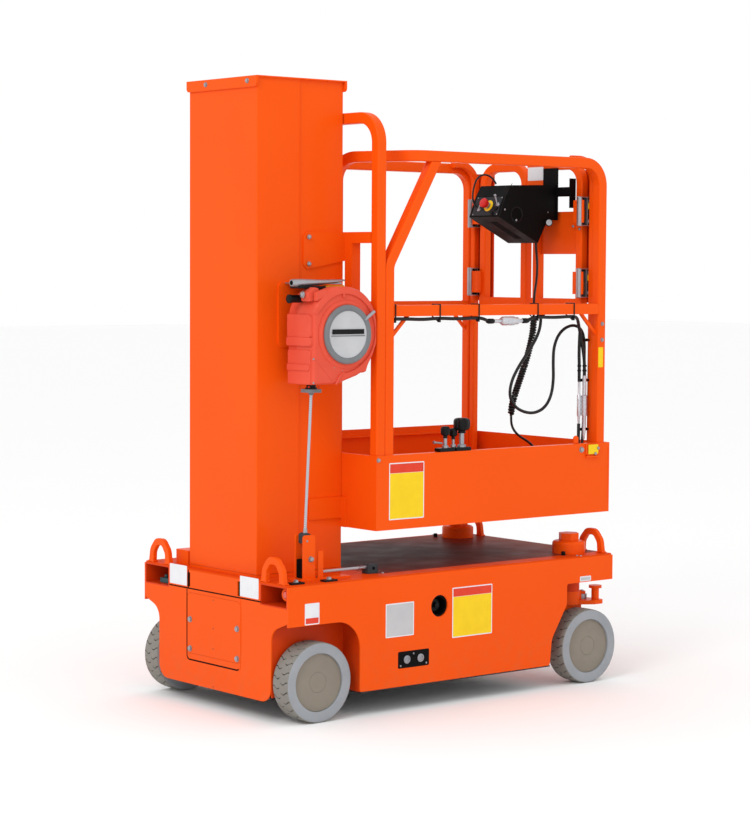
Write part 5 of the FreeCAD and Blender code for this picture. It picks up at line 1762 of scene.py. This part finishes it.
@dataclass
class RailCable:
    """The clipped cable under the near mid rail, with its connectors, glands and clips."""

    radius: float = 5.5
    first: tuple[Point, ...] = (
        (-251, -343, 1234), (-200, -343, 1234), (-130, -343, 1231), (-64, -343, 1235),
        (20, -343, 1231.5), (102, -343, 1235), (128, -343, 1231), (150, -343, 1223),
        (172, -343, 1223))
    second: tuple[Point, ...] = (
        (296, -343, 1223), (318, -343, 1223), (342, -343, 1231), (362, -343, 1235),
        (440, -343, 1232), (515, -343, 1235), (545, -340, 1234), (568, -326, 1222),
        (590, -310, 1194), (608, -303, 1156), (619, -302, 1110), (624, -303, 1074),
        (624, -303, 1030))
    third: tuple[Point, ...] = (
        (609, -293, 870), (608, -294, 830), (600, -300, 780), (586, -305, 735),
        (577, -309, 690), (574, -309, 645), (574, -309, 596))
    branch: tuple[Point, ...] = (
        (596, -308, 1188), (602, -300, 1160), (606, -294, 1110), (609, -293, 1065),
        (609, -293, 1012))
    floor_ends: tuple[Flat, ...] = ((602, -140), (608, -305), (574, -309))
    floor_z: float = 575.0
    box_exit: Point = (583.0, -100.0, 1500.0)

    def leads(self) -> None:
        """The stretches of the cable."""
        for number, route in enumerate((self.first, self.second, self.third, self.branch),
                                       start=1):
            piece = route_curve("rail_lead_%d" % number, list(route), self.radius)
            piece.data.materials.append(material_of(SHEATH))
            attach(piece, "carriage")
            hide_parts("rail_lead")

    def connectors(self) -> None:
        """The bright connectors: one under the rail and two beside each other by the post."""
        shape = Shape()
        x, y, z = self.first[-1]
        shape.lathe([(5.9, 0), (5.9, 30), (11, 32), (14.6, 40), (14.6, 88), (12, 92),
                     (12, 104), (8, 106), (6, 124)], (x, y, z), Axis.X, 28)
        for run in (52, 70):
            shape.lathe([(15, 0), (15, 3)], (x + run, y, z), Axis.X, 28)
        shape.lathe([(3, 0), (4, 6), (4.4, 24), (7, 29), (7, 95), (4.4, 99), (4.4, 145)],
                    self.third[0], Axis.Z, 24)
        x, y, z = self.second[-1]
        shape.lathe([(3, -213), (6.5, -180), (6.5, -136), (10, -131), (10, -65), (7, -62),
                     (7, 3)], (x, y, z), Axis.Z, 28)
        for rise in (-128, -98, -70):
            shape.lathe([(10.7, 0), (10.7, 2.4)], (x, y, z + rise), Axis.Z, 28)
        piece = shape.place("rail_connectors", "carriage", [BRIGHT])
        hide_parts("cord_fittings")
        boot = Shape()
        sleeve = [(6.5, 0), (8.6, 4), (8.6, 22), (6.2, 30)]
        boot.lathe(sleeve, self.second[0], Axis.X, 20)
        boot.lathe(sleeve, self.first[-1], Axis.FRONT, 20)
        boot.place("connector_boots", "carriage", [MOULDED])

    def glands(self) -> None:
        """Ribbed strain reliefs where the cords go into the floor and the box."""
        shape = Shape()
        ribs = [(9, 0), (9, 9), (7.6, 9.6)]
        for step in range(4):
            rise = 10 + 2.7 * step
            ribs += [(7.8 - 0.4 * step, rise), (6.6 - 0.4 * step, rise + 1.6)]
        for x, y in self.floor_ends:
            shape.lathe(ribs, (x, y, self.floor_z), Axis.Z, 24)
        shape.place("floor_glands", "carriage", [MOULDED])
        top = Shape()
        x, y, z = self.box_exit
        top.lathe(ribs, (x, y, z + 8), Axis.DOWN, 24)
        top.place("box_gland", "gate_near", [MOULDED])

    def clips(self) -> None:
        """Black clips on the rear post, and the one that holds the loop under the rail."""
        shape = Shape()
        for z in (1153, 1017, 850):
            shape.block((612, -294, z - 5), (648, -288, z + 5))
            shape.lathe([(8, -5), (8, 5)], (637, -288, z), Axis.Z, 20)
            shape.button_screw((646, -300, z), Axis.NEAR, 4)
        for z in (1066, 1050):
            shape.lathe([(7.6, -3), (7.6, 3)], (624, -303, z), Axis.Z, 20)
            shape.lathe([(6.8, -3), (6.8, 3)], (609, -293, z), Axis.Z, 20)
        shape.lathe([(9, 0), (9, 9), (7, 11)], (401, -322, 1242), Axis.DOWN, 20)
        shape.block((391, -332, 1236), (411, -312, 1242))
        shape.place("post_clips", "carriage", [MOULDED], bevel=1.0)

    def build(self) -> None:
        """Makes the cable, its connectors, glands and clips."""
        self.leads()
        self.connectors()
        self.glands()
        self.clips()


# ---------------------------------------------------------------- gate


@dataclass
class Gate:
    """Hinges, springs and small parts of the two leaves."""

    hinge_x: float = 623.0
    hinge_y: float = 278.0
    heights: Flat = (1346.0, 1588.0)
    stop_low: float = 1279.0
    stop_high: float = 1730.0

    def hinges(self) -> None:
        """The four sprung hinges: barrel, lips, dark blocks painted as the shade in the pocket,
        spring, blank sticker and bolt.
        """
        bright = Shape()
        dark = Shape()
        spring = Shape()
        sticker = Shape()
        x = self.hinge_x
        for side in (-1, 1):
            for z in self.heights:
                y = side * self.hinge_y
                bright.lathe([(8, -50), (9.6, -48), (9.6, 48), (8, 50)], (x - 6, y, z), Axis.Z,
                             24)
                for rise in (-49, 46.5):
                    bright.block((x - 8, y - 12, z + rise), (x + 38, y + 11, z + rise + 2.5))
                bright.block((x + 20, y - 11.5, z - 46), (x + 22, y + 11, z + 46))
                bright.bolt((x + 31, y - 11, z - 34), Axis.NEAR, 6.5, 4, 8)
                bright.lathe([(6.5, 0), (6.5, 2.5)], (x + 31, y - 11, z + 36), Axis.NEAR, 20)
                # The dark blocks at the back of the pocket are painted shade.
                dark.block((x - 4, y + 6, z - 46), (x + 38, y + 9, z + 46))
                dark.block((x + 23, y - 11, z - 46), (x + 38, y + 9, z + 46))
                dark.rod((x + 8, y - 2, z - 44), (x + 8, y - 2, z + 44), 4)
                spring.coil((x + 9, y - 2, z - 30), 6, 34, 5, 12, 1.8)
                sticker.block((x + 24, y - 11.8, z + 8), (x + 37, y - 11, z + 29))
        piece = bright.place("hinge_barrels", "carriage", [ZINC], bevel=0.6)
        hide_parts("gate_hinges")
        dark.place("hinge_pocket_shade", "carriage", [MOULDED])
        spring.place("hinge_springs", "carriage", [BRASS])
        sticker.place("hinge_stickers", "carriage", [YELLOW])

    def stops(self) -> None:
        """The folded strips behind the leaves that they close against."""
        shape = Shape()
        for side in (-1, 1):
            fold = [(664, 310), (685, 310), (685, 226), (682, 226), (682, 307), (664, 307)]
            outline = [(x, side * y) for x, y in fold]
            shape.prism(outline, Axis.Z, self.stop_low, self.stop_high)
        # The strips take the darker orange: painted shade behind the leaves.
        shape.place("gate_stops", "carriage", [SHADED_ORANGE])

    def build(self) -> None:
        """Makes the gate's dressing."""
        dress(ORANGE, "gate_leaf_near", "gate_leaf_far")
        dress(BLACK, "control_bracket", "control_box")
        self.hinges()
        self.stops()
        bolts = Shape()
        for y, z in ((-221, 1538), (-252, 1529)):
            bolts.bolt((644.5, y, z), Axis.FRONT, 5, 5, 0)
        bolts.place("leaf_bolts", "gate_near", [ZINC])
        BlankLabel("sign_film", "gate_near", (641.5, 6, 1698), (0, -1, 0), (0, 0, 1), 78,
                   46).build()


@dataclass
class ControlBox:
    """The controls on the black box: panel film, stop button, levers, cover and slots."""

    low: Flat = (372.0, 1567.0)
    high: Flat = (403.0, 1639.0)
    top: Flat = (432.0, 1680.0)
    foot: Flat = (553.0, 1481.0)
    near_y: float = -142.0
    button_y: float = -74.0
    button_share: float = 0.52
    cover: Flat = (453.0, 1576.0)
    bumper: Point = (606.0, -136.0, 1551.0)
    bumper_out: Point = (-0.6, -0.8, 0.0)
    slot: tuple[Flat, ...] = ((38, -94), (166, -94), (166, -62), (38, -62))

    def spot(self, y: float, share: float, lift: float = 0.0) -> Point:
        """A point on the sloping control face.

        Args:
            y: Across the box.
            share: 0 at the face's lower edge, 1 at its upper edge.
            lift: Distance out from the face.

        Returns:
            The point.
        """
        out = self.out()
        return (self.low[0] + (self.high[0] - self.low[0]) * share + out[0] * lift, y,
                self.low[1] + (self.high[1] - self.low[1]) * share + out[2] * lift)

    def out(self) -> Point:
        """The direction straight out of the control face."""
        run = Vector((self.high[0] - self.low[0], 0, self.high[1] - self.low[1])).normalized()
        return (-run.z, 0, run.x)

    def panel(self) -> None:
        """The film on the control face and the stop button on its yellow disc."""
        out = self.out()
        film = Shape()
        corners = ((-132, 0.07), (-2, 0.07), (-2, 0.94), (-132, 0.94))
        film.skin([[Vector(self.spot(y, share, lift)) for y, share in corners]
                   for lift in (0.4, 1.0)])
        film.place("panel_film", "gate_near", [PANEL])
        middle = self.spot(self.button_y, self.button_share)
        disc = Shape()
        disc.lathe([(20, 0.8), (20, 2), (18.5, 2.6)], middle, out, 36)
        disc.place("stop_disc", "gate_near", [YELLOW])
        red = Shape()
        red.lathe([(11, 12), (13, 13), (16.5, 24), (16.5, 29), (14.5, 31.5), (6, 33)], middle,
                  out, 36)
        red.place("stop_button", "gate_near", [STOP_RED])

    def bright_parts(self) -> None:
        """The plated collar, the two levers, the screws and the bumper's face."""
        out = self.out()
        shape = Shape()
        shape.lathe([(11, 2), (11, 5), (8.5, 6), (8.5, 13)],
                    self.spot(self.button_y, self.button_share), out, 28)
        shape.lathe([(8, 1), (8, 4), (5, 6)], self.spot(-120, 0.56), out, 24)
        shape.rod(self.spot(-120, 0.56, 5), self.spot(-119, 0.84, 24), 2.4, 3.0)
        shape.lathe([(2, -4), (4.4, -2), (4.8, 1), (3, 4)], self.spot(-119, 0.86, 25), out, 16)
        shape.lathe([(7, 1), (7, 5), (5, 6)], self.spot(-34, 0.34), out, 20)
        shape.rod(self.spot(-34, 0.34, 5), self.spot(-44, 0.5, 14), 2.6, 2.0)
        for y in (-128, -8):
            for share in (0.12, 0.9):
                shape.button_screw(self.spot(y, share, 0.8), out, 2.6)
        shape.lathe([(3.4, 0), (3.4, 1.5), (2, 2.4)], (399, self.near_y, 1592), Axis.NEAR, 16)
        shape.lathe([(2.4, 0), (2.4, 1.5), (1.4, 2)], (598, self.near_y, 1586), Axis.NEAR, 16)
        shape.button_screw((452, self.near_y, 1557), Axis.NEAR, 4)
        shape.lathe([(10, 24), (10, 26), (7, 27)], self.bumper, self.bumper_out, 20)
        shape.place("control_levers", "gate_near", [ZINC])

    def dark_parts(self) -> None:
        """The dark switch bodies, the cover's rim, the bumper and the panel's folded edge."""
        out = self.out()
        shape = Shape()
        shape.lathe([(9, 1), (9, 5), (7, 6)], self.spot(-116, 0.4), out, 24)
        shape.lathe([(6, 1), (6, 8), (4.5, 10)], self.spot(-106, 0.16), out, 24)
        cover = (self.cover[0], self.near_y, self.cover[1])
        shape.lathe([(27, 0.1), (27, 1.2), (25, 2.0), (23.4, 1.2), (23.2, 0.4)], cover, Axis.NEAR,
                    40)
        shape.lathe([(13, 4), (13, 22), (10, 24.5)], self.bumper, self.bumper_out, 20)
        edge = [Vector((x + step, self.near_y, z + step))
                for (x, z), step in ((self.low, 1), (self.high, 0), (self.top, 0))]
        shape.pipe(edge, 1.0, 6)
        shape.place("control_knobs", "gate_near", [MOULDED])

    def recesses(self) -> None:
        """The round recess in the near side and the slot in the sloping underside, drawn as dark
        sheets: painted shade.
        """
        pit = Shape()
        pit.lathe([(23.2, 0.2), (23.2, 0.5)], (self.cover[0], self.near_y, self.cover[1]),
                  Axis.NEAR, 40)
        start = Vector((self.low[0], 0, self.low[1]))
        run = (Vector((self.foot[0], 0, self.foot[1])) - start).normalized()
        down = Vector((run.z, 0, -run.x))
        rings = []
        for lift in (0.1, 0.5):
            rings.append([start + run * along + Vector((0, y, 0)) + down * lift
                          for along, y in self.slot])
        pit.skin(rings)
        pit.place("control_recesses", "gate_near", [VOID])

    def lead(self) -> None:
        """The short lead that arches over the box."""
        loop = route_curve("control_loop", [
            self.spot(-12, 0.5, 3), self.spot(-8, 0.62, 22), (383, 0, 1668), (404, 2, 1706),
            (440, 0, 1716), (470, -6, 1700), (478, -10, 1682)], 3.2)
        loop.data.materials.append(material_of(SHEATH))
        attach(loop, "gate_near")

    def build(self) -> None:
        """Makes the controls."""
        self.panel()
        self.bright_parts()
        self.dark_parts()
        self.recesses()
        self.lead()


# ---------------------------------------------------------------- studio


@dataclass
class Studio:
    """A plain pale floor and plain soft light."""

    floor_reach: float = 40.0
    floor_tone: float = 0.97
    key_place: Point = (-5.5, -2.5, 5.0)
    key_power: float = 120.0
    fill_place: Point = (0.5, -6.5, 2.6)
    fill_power: float = 15.0
    aim: Point = (0.0, 0.0, 0.9)

    def floor(self) -> None:
        """The pale floor."""
        finish = Finish("studio_floor", (self.floor_tone,) * 3, (self.floor_tone * 0.995,) * 3,
                        rough=0.85, cloud=0.7, gloss=0.1, grain_strength=0.02)
        mesh = bmesh.new()
        bmesh.ops.create_grid(mesh, x_segments=8, y_segments=8, size=self.floor_reach)
        data = bpy.data.meshes.new("studio_floor")
        mesh.to_mesh(data)
        mesh.free()
        floor = bpy.data.objects.new("studio_floor", data)
        bpy.context.scene.collection.objects.link(floor)
        floor.location.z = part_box("tyre_front_near")[0].z
        data.materials.append(material_of(finish))

    def lamp(self, name: str, place: Point, aim: Point, size: Flat, power: float) -> None:
        """One soft rectangular light.

        Args:
            name: Its name.
            place: Where it hangs, in metres.
            aim: What it points at, in metres.
            size: Its width and height in metres.
            power: Its power in watts.
        """
        light = bpy.data.lights.new(name, "AREA")
        light.shape = "RECTANGLE"
        light.size, light.size_y = size
        light.energy = power
        thing = bpy.data.objects.new(name, light)
        thing.location = place
        thing.rotation_euler = (Vector(aim) - Vector(place)).to_track_quat("-Z", "Y").to_euler()
        bpy.context.scene.collection.objects.link(thing)

    def build(self) -> None:
        """Makes the floor, the two lights and the white surroundings."""
        self.floor()
        self.lamp("key", self.key_place, self.aim, (2.4, 2.4), self.key_power)
        self.lamp("fill", self.fill_place, self.aim, (3.0, 2.4), self.fill_power)
        scene = bpy.context.scene
        world = bpy.data.worlds.new("studio_air")
        world.use_nodes = True
        back = world.node_tree.nodes["Background"]
        back.inputs["Color"].default_value = (1.0, 1.0, 1.0, 1.0)
        back.inputs["Strength"].default_value = 1.0
        scene.world = world
        scene.view_settings.view_transform = "Standard"
        scene.view_settings.look = "None"


def main() -> None:
    """Builds the lift's dressing in order."""
    logging.basicConfig(level=logging.INFO, format="%(message)s")
    wheels = [Wheel(end + "_" + side, x, way) for end, x in (("front", -575), ("rear", 575))
              for side, way in (("near", -1), ("far", 1))]
    parts = [Viewpoint(), PlatformCords(), *wheels, Chassis(), CordAnchor(), Mast(), CordReel(),
             Platform(), RailCable(), Gate(), ControlBox(), Studio()]
    for part in parts:
        part.build()
        LOG.info("made %s", type(part).__name__)


if __name__ == "__main__":
    main()
